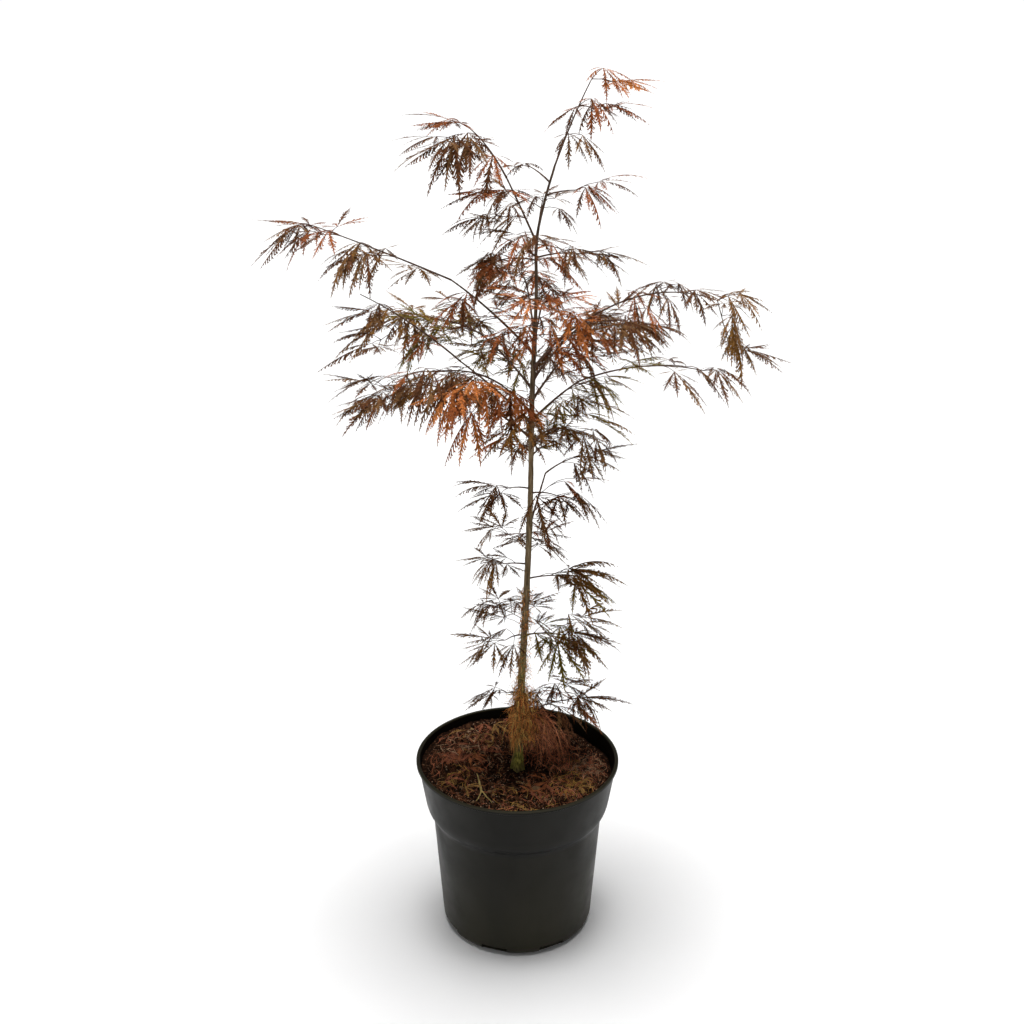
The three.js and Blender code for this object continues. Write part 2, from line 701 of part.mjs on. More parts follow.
// A mass as one solid: its stem, with each twig and leaf that keeps clear of the other solids.
function massSolid(stem, ownStem, mass, seed, others) {
  const { twigs, leaves } = planMass(stem, mass, seed);
  const nearby = others.filter((other) => ownStem.minGap(other, SPACE.reach) < SPACE.reach);
  let solid = ownStem;
  for (const twig of twigs) {
    const shoot = stemSolid(twig, GROWTH.stemTipRadius);
    if (keepsClear(shoot, nearby)) solid = solid.add(shoot);
  }
  for (const leaf of leaves) {
    const blade = leafSolid(leaf, mass.leaf);
    if (keepsClear(blade, nearby)) solid = solid.add(blade);
  }
  return largestPiece(solid.simplify(GROWTH.tidyTo));
}

// ---------------------------------------------------------------------------------------------------
// The whole plant
// ---------------------------------------------------------------------------------------------------

const plant = new THREE.Group();

function addMesh(name, geometry, finish) {
  const { color, roughness } = FINISHES[finish];
  const material = new THREE.MeshStandardMaterial({ color, roughness, metalness: 0 });
  const mesh = new THREE.Mesh(geometry, material);
  mesh.name = name;
  plant.add(mesh);
}

const trunk = makeTrunk();
const trunkSleeve = trunkSolid(SEAT_GAP);
const boughSolids = boughs.map((bough) => boughSolid(bough).subtract(trunkSleeve));
const stemSolids = stems.map((stem) => {
  const solid = stemSolid(stem.axis, GROWTH.stemRadius);
  return stem.onTrunk ? solid.subtract(trunkSleeve) : solid;
});

addMesh("pot", makePot(), "pot");
addMesh("soil", makeSoil(), "soil");
addMesh("trunk", toGeometry(trunk), "bark");
boughs.forEach((bough, i) => addMesh(bough.name, toGeometry(boughSolids[i]), "twig"));

// Each mass is grown among the limbs, the stems of all the others, and the masses already grown.
const grown = [];
stems.forEach((stem, i) => {
  const mass = MASSES[stem.name];
  const otherStems = stemSolids.filter((solid, k) => k !== i);
  const others = [trunk, ...boughSolids, ...otherStems, ...grown];
  grown.push(massSolid(stem, stemSolids[i], mass, GROWTH.firstSeed + i, others));
  addMesh(`${stem.name}_foliage`, toGeometry(grown[i]), mass.finish);
});

export default plant;
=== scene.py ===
"""The looks of a young laceleaf maple in a round nursery pot.

Sizes are in millimetres and degrees, as in the part's source, and become metres when a mesh is made.
+Z is up and -Y is the front. A heading of 0 is to the right, 90 back, 180 left and 270 to the front.

The limbs and the masses of foliage are those of the solids. Every mass grows here by the same seeded rule,
with more pairs of leaves, finer twigs, and feathered lobes.
"""

import math

import bmesh
import bpy
import numpy as np
from mathutils import Matrix, Vector, noise


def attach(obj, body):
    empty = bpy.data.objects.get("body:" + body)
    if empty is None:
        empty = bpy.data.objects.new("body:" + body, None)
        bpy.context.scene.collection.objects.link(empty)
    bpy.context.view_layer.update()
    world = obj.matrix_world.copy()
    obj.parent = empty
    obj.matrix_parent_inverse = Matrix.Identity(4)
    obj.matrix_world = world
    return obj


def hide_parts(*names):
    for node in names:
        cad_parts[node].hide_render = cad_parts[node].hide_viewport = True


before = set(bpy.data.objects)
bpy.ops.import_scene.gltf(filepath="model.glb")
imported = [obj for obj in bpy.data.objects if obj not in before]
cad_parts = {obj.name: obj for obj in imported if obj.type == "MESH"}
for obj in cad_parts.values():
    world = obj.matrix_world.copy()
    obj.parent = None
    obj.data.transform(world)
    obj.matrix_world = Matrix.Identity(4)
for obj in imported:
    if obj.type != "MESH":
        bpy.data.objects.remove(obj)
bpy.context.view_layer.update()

METRES = 0.001


def table(columns, **rows):
    """Rows of values under the same column names."""
    return {name: dict(zip(columns.split(), row)) for name, row in rows.items()}


# ---- Driving dimensions ----

POT = dict(
    height=173,
    rim_radius=95,
    lip_height=3.2,
    lip_width=1.9,
    lip_edge=0.6,
    band_height=48,
    band_foot_radius=85.7,
    shoulder_height=7,
    wall_top_radius=80,
    base_radius=72,
    base_rounding=8.5,
    wall=1.4,
    facets=160,
    drain_holes=8,
    drain_width=25,
    drain_height=8,
    drain_depth=13,
    drain_turn=252,
    base_steps=8,
    shoulder_bend=(4, 4.3),
    band_bend=(4.3, 9),
)

# The litter is heaped up along the back and the left of the pot.
MOUND = dict(height=10, heading=150, inner=0.35, outer=0.95, spread=1.2)

# Colours in linear light. A clump deals them out by thread.
MAT_COLOURS = dict(
    pink=(0.520, 0.186, 0.098),
    umber=(0.088, 0.033, 0.015),
    gold=(0.580, 0.340, 0.092),
    tan=(0.680, 0.440, 0.270),
    pale=(0.780, 0.335, 0.180),
)
MAT = dict(seed=411, length=(5, 15), width=(0.4, 0.95), rise=2.6, crowding=0.62)
CLUMPS = table(
    "place radius height threads deal",
    right=((27, 27), 27, 25, 620, ("pink", "pale", "pink", "umber", "pale")),
    right_foot=((40, 10), 18, 12, 200, ("pink", "umber", "pale")),
    left=((-46, 28), 33, 6, 460, ("pink", "umber", "umber", "umber", "tan")),
    left_edge=((-70, -2), 20, 4, 130, ("pink", "umber")),
    left_front=((-54, -20), 15, 2, 90, ("gold", "umber", "umber")),
    right_front=((50, -28), 24, 2, 300, ("gold", "umber", "pink", "pale", "gold")),
    right_edge=((68, 0), 22, 3, 260, ("pink", "tan", "umber", "pale")),
    back=((12, 62), 30, 4, 200, ("umber", "pink", "umber")),
    front=((4, -62), 30, 2, 170, ("umber", "gold", "pink", "umber")),
)
LITTER = dict(
    litter_brown=dict(count=520, width=(0.35, 0.9), colour=(0.280, 0.107, 0.047), slot="soil", seed=403),
    litter_red=dict(count=210, width=(0.35, 0.9), colour=(0.500, 0.185, 0.096), slot="russet", seed=404),
    litter_straw=dict(count=50, width=(0.35, 0.8), colour=(0.620, 0.400, 0.170), slot="straw", seed=405),
)
CRUMBS = dict(
    soil_crumbs=dict(count=6000, size=(0.5, 1.6), seed=401),
    soil_grit=dict(count=2600, size=(0.25, 0.7), colour=(0.70, 0.50, 0.34), seed=406),
    bark_bits=dict(count=260, size=(1.4, 3.4), colour=(0.11, 0.050, 0.024), seed=402),
)
FALLEN = dict(
    seed=407,
    template_seed=408,
    count=34,
    colours=dict(russet=(0.38, 0.135, 0.072), straw=(0.42, 0.235, 0.080), rust=(0.42, 0.150, 0.060)),
    deal=("russet", "russet", "rust", "straw"),
    arcs=((105, 215), (105, 215), (105, 215), (-35, 10), (215, 325)),
    out=(0.42, 0.93),
    above=(1.2, 4.5),
    fan=34,
    length=(12, 25),
)
SPRIG = dict(
    fork=(-33, -45),
    ends=(((-38, -12), 1.1), ((-37, -62), 0.7), ((-23, -61), 0.8)),
    above=1.6,
    colour=(0.62, 0.48, 0.19),
)
PEBBLES = dict(
    seed=409,
    large=(((17, -37), 4.8), ((60, 6), 3.6)),
    large_above=1.5,
    count=60,
    size=(0.9, 2.3),
    above=0.3,
    flatness=0.62,
    colour=(0.27, 0.165, 0.085),
)

# Dry leaf threads hang on the trunk's foot, thicker to the right. Heights are above the floor.
SKIRT = dict(
    seed=301,
    colours=dict(
        rust=(0.74, 0.290, 0.084),
        straw=(0.80, 0.50, 0.150),
        bronze=(0.50, 0.235, 0.068),
        umber=(0.11, 0.047, 0.018),
    ),
    deal=("rust", "bronze", "umber", "rust", "straw", "bronze", "umber"),
    rightwards=0.45,
    tassel=dict(
        count=330, top=(198, 240), foot=(180, 216), least_fall=4, out=(2, 11), lift=(0, 6), wobble=(1, 6)
    ),
    left_strand=dict(
        count=90, top=(198, 232), heading=(165, 250), out=(1.5, 5), foot=(170, 188), lift=1, wobble=(0, 3)
    ),
    bristles=dict(count=80, top=(198, 270), out=(7, 24), fall=(0, 30), lift=(1, 8), wobble=(0, 5)),
    tuft=dict(count=950, height=(194, 244), widest_at=210, half_height=46, spread=10.5, length=(6, 15)),
    fuzz=dict(count=1000, low=226, rise=120, thinning=1.2, spread=2.2, length=(3, 8), width=(0.4, 0.8)),
    width=(0.45, 0.9),
    bristle_width=(0.35, 0.6),
)
# Withered leaves arch from the trunk down to the clump on its right.
BROOM = dict(
    seed=302,
    template_seed=303,
    colours=dict(russet=(0.78, 0.310, 0.160), rust=(0.38, 0.145, 0.064), umber=(0.12, 0.046, 0.021)),
    deal=("russet", "rust", "russet", "umber"),
    heap=dict(
        count=240, place=(27, 27), radius=24, edge=27, height=(4, 30), length=(5, 13), width=(0.4, 0.85)
    ),
    threads=dict(count=70, top=(190, 222), heading=(-12, 85), foot=(2, 24), out=(14, 48), width=(0.4, 0.9)),
    thread_lift=(2, 14),
    thread_wobble=(1, 9),
    leaves=dict(count=14, top=(196, 220), heading=(-16, 80), out=(8, 26), up=(-6, 6), length=(16, 30)),
    leaf_fan=29,
)

SOIL = dict(level=160, foot=127, edge_drop=4, flat_radius=14, roughness=2.4, rings=64, facets=200, gap=0.4)

TRUNK = dict(
    axis=[
        (0, 0, 154),
        (3, 1, 232),
        (8, 2, 340),
        (11, 0, 430),
        (12, -2, 520),
        (15, 0, 606),
        (15, 2, 652),
        (21, 3, 684),
        (29, 4, 712),
    ],
    foot_radius=3.8,
    tip_radius=0.9,
    flare=2.6,
    flare_height=18,
    sides=36,
    ring_step=1.1,
    sunk=5,
)

BOUGH = dict(sides=12, steps=60, tip_radius=0.65, collar=0.6, collar_length=3, leafy_from=0.16)
BOUGHS = table(
    "height heading climb length sag radius",
    top_left_shoot=(652, 180, 66, 60, 3, 0.9),
    left_upper_bough=(560, 178, 48, 102, 14, 1.1),
    left_middle_bough=(500, 180, 46, 86, 8, 1.15),
    left_lower_bough=(486, 206, 44, 74, 10, 1.1),
    front_left_bough=(508, 228, 46, 58, 7, 1.05),
    front_bough=(566, 276, 50, 54, 6, 1.0),
    front_right_bough=(548, 312, 48, 62, 8, 1.05),
    right_upper_bough=(538, 4, 55, 84, 16, 1.15),
    right_middle_bough=(502, 352, 48, 60, 8, 1.1),
    right_lower_bough=(482, 322, 46, 30, 5, 1.0),
    back_right_bough=(520, 48, 40, 76, 9, 1.1),
    back_bough=(574, 96, 36, 66, 8, 1.05),
    back_left_bough=(530, 136, 38, 74, 9, 1.1),
    side_shoot=(404, 15, 74, 52, 1, 1.0),
)


def on_limb(limb, lift, length, sag, leaf, finish, **more):
    """A mass whose stem carries on from a limb's tip, lifted a little. `leaf` is its leaves' size."""
    return dict(on=limb, lift=lift, length=length, sag=sag, leaf=leaf, finish=finish, **more)


def on_trunk(height, heading, climb, length, sag, leaf, finish, **more):
    """A mass whose stem leaves the side of the trunk."""
    stem = dict(height=height, heading=heading, climb=climb, length=length, sag=sag)
    return dict(leaf=leaf, finish=finish, **stem, **more)


# The order settles each mass's seed. `foot_front` is only a space: dry threads stand in for it.
MASSES = dict(
    leader_tip=on_limb("trunk", -4, 84, 12, 46, "russet", spacing=26),
    leader_side=on_trunk(690, 344, 20, 26, 4, 46, "plum"),
    leader_back=on_trunk(700, 150, 40, 24, 4, 40, "plum"),
    top_left=on_limb("top_left_shoot", -2, 62, 16, 50, "plum", spacing=14),
    top_right=on_trunk(640, 338, 20, 40, 8, 42, "plum"),
    top_low=on_trunk(638, 204, 16, 32, 6, 46, "plum", spacing=8),
    top_back=on_trunk(664, 84, 34, 44, 8, 44, "plum"),
    top_front=on_trunk(644, 268, 36, 36, 6, 42, "plum", spacing=9),
    left_upper=on_limb("left_upper_bough", -12, 122, 4, 48, "bronze", spacing=26),
    left_middle=on_limb("left_middle_bough", 4, 110, 16, 50, "russet", spacing=26, tip_finish="plum"),
    left_lower=on_limb("left_lower_bough", 0, 82, 30, 50, "rust", turn=-16, spacing=10, tip_finish="plum"),
    front_left=on_limb(
        "front_left_bough", 0, 60, 18, 54, "rust", turn=-20, droop=-8, spacing=10, tries=8,
        tip_finish="plum"
    ),
    front=on_limb("front_bough", 0, 44, 12, 42, "rust", droop=12, spacing=10, tries=8),
    front_right=on_limb(
        "front_right_bough", 0, 42, 12, 43, "rust", turn=14, droop=12, spacing=10, tries=8,
        tip_finish="plum"
    ),
    right_upper=on_limb(
        "right_upper_bough", -6, 124, 52, 45, "russet", droop=-20, spacing=30,
        tail=dict(climb=-72, length=46, sag=2), tail_finish="plum"
    ),
    right_middle=on_limb(
        "right_middle_bough", -12, 112, 32, 43, "olive", spacing=34, bough_spacing=6, tries=8,
        tip_finish="plum"
    ),
    right_lower=on_limb("right_lower_bough", -10, 30, 8, 38, "bronze", spacing=9, tries=8),
    back_right=on_limb("back_right_bough", -8, 74, 20, 50, "plum", spacing=11, tries=8),
    back=on_limb("back_bough", -4, 60, 18, 48, "russet", spacing=11, tries=8),
    back_left=on_limb("back_left_bough", -8, 76, 20, 50, "olive", spacing=11),
    inner_left=on_trunk(478, 166, 20, 18, 5, 44, "olive", spacing=8, tries=8),
    inner_right=on_trunk(470, 50, 24, 30, 6, 44, "olive", spacing=8, tries=8),
    middle_right=on_limb("side_shoot", -34, 34, 8, 45, "plum", turn=-10, spacing=18),
    middle_left=on_trunk(440, 206, 22, 24, 5, 45, "plum", spacing=18),
    middle_low=on_trunk(436, 318, 22, 32, 7, 45, "plum", spacing=18),
    middle_back=on_trunk(450, 92, 30, 40, 7, 45, "bronze", spacing=18),
    lower_left=on_trunk(368, 186, 12, 22, 3, 42, "plum", spacing=9),
    lower_right=on_trunk(354, 356, 16, 32, 5, 58, "olive", spacing=10),
    lower_back=on_trunk(372, 84, 26, 34, 6, 42, "bronze", spacing=9),
    low_left=on_trunk(298, 190, 14, 18, 8, 42, "plum", spacing=9),
    low_right=on_trunk(298, 350, 18, 36, 8, 54, "olive", spacing=10),
    low_back=on_trunk(300, 92, 26, 34, 6, 42, "bronze", spacing=9),
    foot_left=on_trunk(238, 172, 26, 14, 6, 36, "bronze"),
    foot_right=on_trunk(214, 12, 30, 54, 14, 50, "bronze", droop=-14, spacing=14, tip_finish="russet"),
    foot_front=dict(height=236, heading=262, climb=14, length=18, sag=2),
)

GROWTH = dict(
    first_seed=11,
    pair_spacing=17,
    stem_radius=0.8625,
    stem_tip_radius=0.42,
    twig_radius=0.45,
    twig_tip_radius=0.34,
    stalk_radius=0.32,
    stalk_length=(10, 20),
    stalk_spread=(38, 80),
    end_spread=(26, 44),
    stalk_climb=(-8, 28),
    twig_length=(18, 34),
    twig_spread=(34, 62),
    tries=4,
    swing=(-28, 28),
    size_spread=(0.74, 1.1),
    palm_gap=7,
    tip_from=0.45,
    tail_nodes=(0.3, 0.65),
    tail_spine=(0.2, 0.6, 1),
)

# A leaf's blade tilts down along its heading, and every lobe bends down further.
LEAF = dict(
    fan=30,
    lobe_shares=(0.5, 0.74, 0.93, 1, 0.93, 0.74, 0.5),
    tilt=(-24, 48),
    bend=(8, 46),
    steepest=-92,
    heading_jitter=10,
    pitch_jitter=13,
    length_spread=(0.78, 1.12),
    lobe_trims=(1, 0.8, 0.62),
    sample_shares=(0.3, 0.6, 0.8, 1),
    fewest_lobes=4,
)

# A lobe is a slim blade with toothed lobules that point forwards. Sizes are shares of the lobe's length.
LOBE = dict(
    seed=977,
    stations=13,
    first=0.1,
    last=0.92,
    blade=0.021,
    reach=0.095,
    base_share=0.22,
    widest=0.46,
    tip_thinning=1.15,
    lobule_angle=(20, 34),
    lobule_base=0.020,
    fold=(-0.7, 0.4),
    tooth=0.34,
)
# The withered leaves at the foot have lobes like threads.
THREAD_LOBE = dict(
    stations=8,
    first=0.12,
    last=0.88,
    blade=0.010,
    reach=0.10,
    base_share=0.5,
    widest=0.4,
    tip_thinning=0.9,
    lobule_angle=(16, 30),
    lobule_base=0.010,
    fold=(-0.9, 0.6),
    tooth=0,
)
THREAD_STALK_RADIUS = 0.35
TEMPLATES = 12

# A mass's own space is nearer to its spine, which hangs below its stem, than to any other mass's.
SPACE = dict(hang=20, margin=-3.0, limb_gap=0.6, samples=6, spine_points=12)

# Leaf colours in linear light, each with the record's slot, and the tint that one lobe in so many takes.
TINTS = table(
    "colour slot sister",
    plum=((0.106, 0.042, 0.0175), "plum", "smoke"),
    smoke=((0.165, 0.082, 0.0330), "plum", "plum"),
    bronze=((0.198, 0.093, 0.0250), "bronze", "smoke"),
    olive=((0.200, 0.134, 0.0310), "olive", "bronze"),
    moss=((0.138, 0.104, 0.0220), "olive", "olive"),
    russet=((0.280, 0.086, 0.0290), "russet", "plum"),
    rust=((0.400, 0.128, 0.0350), "rust", "ember"),
    ember=((0.500, 0.178, 0.0510), "rust", "russet"),
)
SISTER_EVERY = 3
STALK_COLOUR = (0.10, 0.045, 0.032)

# A finish deals out these tints by spray.
DEALS = dict(
    plum=("plum", "smoke", "plum", "smoke", "russet", "plum", "bronze"),
    bronze=("bronze", "smoke", "plum", "bronze", "russet", "smoke"),
    olive=("olive", "moss", "bronze", "smoke", "olive", "moss"),
    russet=("russet", "smoke", "plum", "russet", "bronze", "rust"),
    rust=("rust", "ember", "russet", "rust", "bronze", "russet"),
)

# The floor, in metres, lies a hair below the pot.
FLOOR = dict(half_width=60, drop=0.0002)

# A wide soft light overhead gives the soft round shadow; the sky is white at the horizon.
SKY = dict(white_to=0.02, grey_from=0.24, grey=0.10, strength=1.02)
LIGHTS = dict(
    overhead=dict(heading=90, climb=87, width=31, power=3.62),
    window=dict(heading=235, climb=45, width=70, power=0.22),
)

CAMERA = dict(place=(-5, -1077, 822.5), pitch=20.57, focal_share=1.28125)

# ---- Small helpers ----

UP = np.array([0.0, 0.0, 1.0])


def direction(heading, climb):
    level = math.cos(math.radians(climb))
    turn = math.radians(heading)
    return np.array([level * math.cos(turn), level * math.sin(turn), math.sin(math.radians(climb))])


def unit(vector):
    return vector / np.linalg.norm(vector)


def heading_of(vector):
    return math.degrees(math.atan2(vector[1], vector[0]))


def climb_of(vector):
    return math.degrees(math.atan2(vector[2], math.hypot(vector[0], vector[1])))


def blend_values(low, high, share):
    return low + (high - low) * share


def smooth_step(value, low, high):
    share = np.clip((value - low) / (high - low), 0, 1)
    return share * share * (3 - 2 * share)


class Draws:
    """Repeatable numbers: the linear congruential generator of the solids' source."""

    def __init__(self, seed):
        self.state = seed & 0xFFFFFFFF

    def __call__(self, low, high):
        self.state = (self.state * 1664525 + 1013904223) & 0xFFFFFFFF
        return low + (high - low) * self.state / 2**32

    def pick(self, choices):
        return choices[min(int(self(0, len(choices))), len(choices) - 1)]


class Bow:
    """A limb's axis: straight along its heading and climb, less a sag that grows with the square."""

    def __init__(self, start, heading, climb, length, sag):
        self.start = np.asarray(start, float)
        self.reach = direction(heading, climb) * length
        self.sag = sag
        self.length = length

    def at(self, share):
        return self.start + self.reach * share - UP * (self.sag * share**2)

    def slope(self, share):
        return unit(self.reach - UP * (2 * self.sag * share))

    def points(self, count):
        return np.array([self.at(i / count) for i in range(count + 1)])


def catmull_rom(places, steps):
    """A smooth line through the places, with `steps` points on each stretch."""
    places = np.asarray(places, float)
    first = 2 * places[0] - places[1]
    last = 2 * places[-1] - places[-2]
    knots = np.vstack([first, places, last])
    line = []
    for i in range(1, len(knots) - 2):
        a, b, c, d = knots[i - 1 : i + 3]
        for t in np.linspace(0, 1, steps, endpoint=False):
            ahead, behind = (c - a) / 2, (d - b) / 2
            line.append(
                (2 * t**3 - 3 * t**2 + 1) * b
                + (t**3 - 2 * t**2 + t) * ahead
                + (-2 * t**3 + 3 * t**2) * c
                + (t**3 - t**2) * behind
            )
    line.append(places[-1])
    return np.array(line)


def distance_to_lines(points, lines):
    """The distance of each of n points to each of m lines of equal length, as an n by m array."""
    starts = lines[:, :-1]
    along = lines[:, 1:] - starts
    offset = points[:, None, None] - starts[None]
    share = (offset * along).sum(-1) / (along * along).sum(-1)
    share = np.clip(share, 0, 1)[..., None]
    return np.linalg.norm(offset - along * share, axis=-1).min(-1)


class Parts:
    """Triangles on their way to becoming one mesh."""

    def __init__(self):
        self.vertices = []
        self.triangles = []
        self.count = 0

    def add(self, vertices, triangles):
        self.vertices.append(np.asarray(vertices, float))
        self.triangles.append(np.asarray(triangles, int) + self.count)
        self.count += len(vertices)


def make_piece(name, parts, material, slot, smooth=True, replaces=()):
    """One object of the model, riding on the pot plant's only body."""
    mesh = bpy.data.meshes.new(name)
    vertices = np.concatenate(parts.vertices) * METRES
    triangles = np.concatenate(parts.triangles)
    mesh.from_pydata(vertices.tolist(), [], triangles.tolist())
    mesh.update()
    if smooth:
        mesh.shade_smooth()
    mesh.materials.append(material)
    piece = bpy.data.objects.new(name, mesh)
    bpy.context.scene.collection.objects.link(piece)
    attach(piece, "root")
    if replaces:
        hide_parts(*replaces)
    return piece


def number_corners(rings, facets, first=0):
    """The number of each corner in some rings, and the number of the corner beside it."""
    index = first + np.arange(rings * facets).reshape(rings, facets)
    return index, np.roll(index, -1, axis=1)


def skin(index, beside):
    """Two triangles for each face between neighbouring rings."""
    corners = (index[:-1], beside[:-1], beside[1:], index[1:])
    a, b, c, d = (corner.ravel() for corner in corners)
    return np.vstack([np.stack([a, b, c], 1), np.stack([a, c, d], 1)])


def fan(middle, first, second):
    """Triangles from one corner to the edges of a ring."""
    return np.stack([np.full(len(first), middle), first, second], 1)


def add_tube(parts, points, radii, sides, relief=None):
    """A closed round tube along the points. `relief` gives each ring's corners a share more of radius."""
    points = np.asarray(points, float)
    ahead = np.gradient(points, axis=0)
    ahead /= np.linalg.norm(ahead, axis=1)[:, None]
    spoke = np.cross(ahead[0], UP if abs(ahead[0][2]) < 0.9 else np.array([0.0, 1.0, 0.0]))
    turns = np.arange(sides) * (2 * math.pi / sides)
    rings = []
    for place, forward, radius in zip(points, ahead, radii):
        spoke = unit(spoke - forward * np.dot(spoke, forward))
        other = np.cross(forward, spoke)
        rings.append(place + radius * (np.cos(turns)[:, None] * spoke + np.sin(turns)[:, None] * other))
    rings = np.array(rings)
    if relief is not None:
        rings = points[:, None] + (rings - points[:, None]) * (1 + relief(rings, turns)[..., None])
    index, beside = number_corners(len(points), sides)
    foot = fan(0, index[0, 2:], index[0, 1:-1])
    tip = fan(index[-1, 0], index[-1, 1:-1], index[-1, 2:])
    parts.add(rings.reshape(-1, 3), np.vstack([skin(index, beside), foot, tip]))


# ---- Materials ----


class Shader:
    """A material whose nodes are added one by one."""

    def __init__(self, name, roughness, specular=0.1):
        self.material = bpy.data.materials.new(name)
        self.material.use_nodes = True
        self.nodes = self.material.node_tree.nodes
        self.links = self.material.node_tree.links
        self.surface = self.nodes["Principled BSDF"]
        self.surface.inputs["Roughness"].default_value = roughness
        self.surface.inputs["Specular IOR Level"].default_value = specular
        self.place = self.nodes.new("ShaderNodeTexCoord").outputs["Object"]

    def join(self, value, socket):
        """Sets a socket to a colour or a number, or links it to another node's output."""
        if isinstance(value, tuple):
            socket.default_value = (*value, 1)
        elif isinstance(value, (int, float)):
            socket.default_value = value
        else:
            self.links.new(value, socket)

    def add(self, kind, inputs):
        """A new node, with some of its inputs set or linked."""
        node = self.nodes.new(f"ShaderNode{kind}")
        for socket, value in inputs.items():
            self.join(value, node.inputs[socket])
        return node

    def noise(self, scale, detail=4.0, stretch=(1, 1, 1), distortion=0.0):
        """Noise of a size given per metre, stretched along the axes."""
        mapping = self.add("Mapping", {"Vector": self.place})
        mapping.inputs["Scale"].default_value = stretch
        size = {"Scale": scale, "Detail": detail, "Distortion": distortion}
        return self.add("TexNoise", {"Vector": mapping.outputs["Vector"], **size}).outputs["Fac"]

    def ramp(self, value, *stops):
        """Colours or greys at places from 0 to 1."""
        node = self.add("ValToRGB", {"Fac": value})
        elements = node.color_ramp.elements
        while len(elements) < len(stops):
            elements.new(0.5)
        for element, (place, colour) in zip(elements, stops):
            element.position = place
            element.color = (*colour, 1) if isinstance(colour, tuple) else (colour,) * 3 + (1,)
        return node.outputs["Color"]

    def mix(self, share, first, second):
        """Two colours mixed by a share."""
        node = self.nodes.new("ShaderNodeMix")
        node.data_type = "RGBA"
        for socket, value in dict(Factor=share, A=first, B=second).items():
            self.join(value, node.inputs[socket])
        return next(o for o in node.outputs if o.type == "RGBA")

    def height(self, low, high):
        """0 at one height and 1 at another, in millimetres."""
        height = self.add("SeparateXYZ", {"Vector": self.place}).outputs["Z"]
        span = {"From Min": low * METRES, "From Max": high * METRES}
        return self.add("MapRange", {"Value": height, **span}).outputs["Result"]

    def times(self, first, second):
        node = self.add("Math", {0: first, 1: second})
        node.operation = "MULTIPLY"
        return node.outputs["Value"]

    def colour(self, value):
        self.join(value, self.surface.inputs["Base Color"])

    def roughness(self, value):
        self.join(value, self.surface.inputs["Roughness"])

    def bump(self, value, distance, strength=1.0):
        node = self.add("Bump", {"Height": value, "Distance": distance * METRES, "Strength": strength})
        self.links.new(node.outputs["Normal"], self.surface.inputs["Normal"])


def scaled(colour, factor):
    return tuple(min(1.0, part * factor) for part in colour)


def pot_plastic():
    shader = Shader("pot_plastic", roughness=0.5, specular=0.14)
    dust = shader.noise(16, detail=6, stretch=(1, 1, 0.25))
    # edge is the colour of the rim's top: a painted highlight, partly dusty wear.
    clean, dusty, edge = (0.0044, 0.0040, 0.0021), (0.0105, 0.0094, 0.0052), (0.030, 0.027, 0.015)
    # Painted reflection: the body is painted up to about 3.4 times lighter towards the base, standing in
    # for the pale floor reflected in the lower sides. The dust noise varies the tone at random.
    body = shader.mix(
        shader.height(95, 0),
        shader.ramp(dust, (0.3, clean), (0.72, dusty)),
        shader.ramp(dust, (0.3, scaled(clean, 3.4)), (0.72, scaled(dusty, 2.8))),
    )
    # Painted shade: the band is painted at 0.6 of the body's colour, darkened to offset the sheen it
    # catches.
    band_painted_shade = shader.ramp(dust, (0.3, scaled(clean, 0.6)), (0.72, scaled(dusty, 0.6)))
    body = shader.mix(shader.height(BAND_FOOT - 2, BAND_FOOT + 8), body, band_painted_shade)
    # Painted shade: the taper between the wall's top and the band's foot is painted at 0.35 of the clean
    # colour, hiding the floor's light reflected in this crease.
    painted_shade_from_wall = shader.height(WALL_TOP - 5, WALL_TOP + 1)
    painted_shade_to_band = shader.height(BAND_FOOT + 6, BAND_FOOT - 1)
    body = shader.mix(shader.times(painted_shade_from_wall, painted_shade_to_band), body, scaled(clean, 0.35))
    # Painted highlight, partly dusty wear: the top of the rim is painted lighter.
    shader.colour(shader.mix(shader.height(POT["height"] - 1.6, POT["height"] - 0.3), body, edge))
    shader.roughness(shader.ramp(shader.noise(40, detail=5), (0.3, 0.36), (0.7, 0.54)))
    shader.bump(shader.noise(900, detail=2), distance=0.05, strength=0.5)
    return shader.material


def soil_crumb():
    shader = Shader("soil_crumb", roughness=0.95, specular=0.08)
    grains = shader.noise(420, detail=6)
    patches = shader.noise(45, detail=4)
    dark, brown, light = (0.007, 0.0032, 0.0018), (0.044, 0.0178, 0.0084), (0.34, 0.20, 0.115)
    shader.colour(
        shader.mix(
            shader.ramp(patches, (0.42, 0.0), (0.58, 1.0)),
            shader.ramp(grains, (0.40, dark), (0.60, brown), (0.72, light)),
            shader.ramp(grains, (0.42, dark), (0.60, (0.064, 0.023, 0.0108)), (0.72, light)),
        )
    )
    shader.bump(shader.noise(700, detail=5), distance=1.2)
    return shader.material


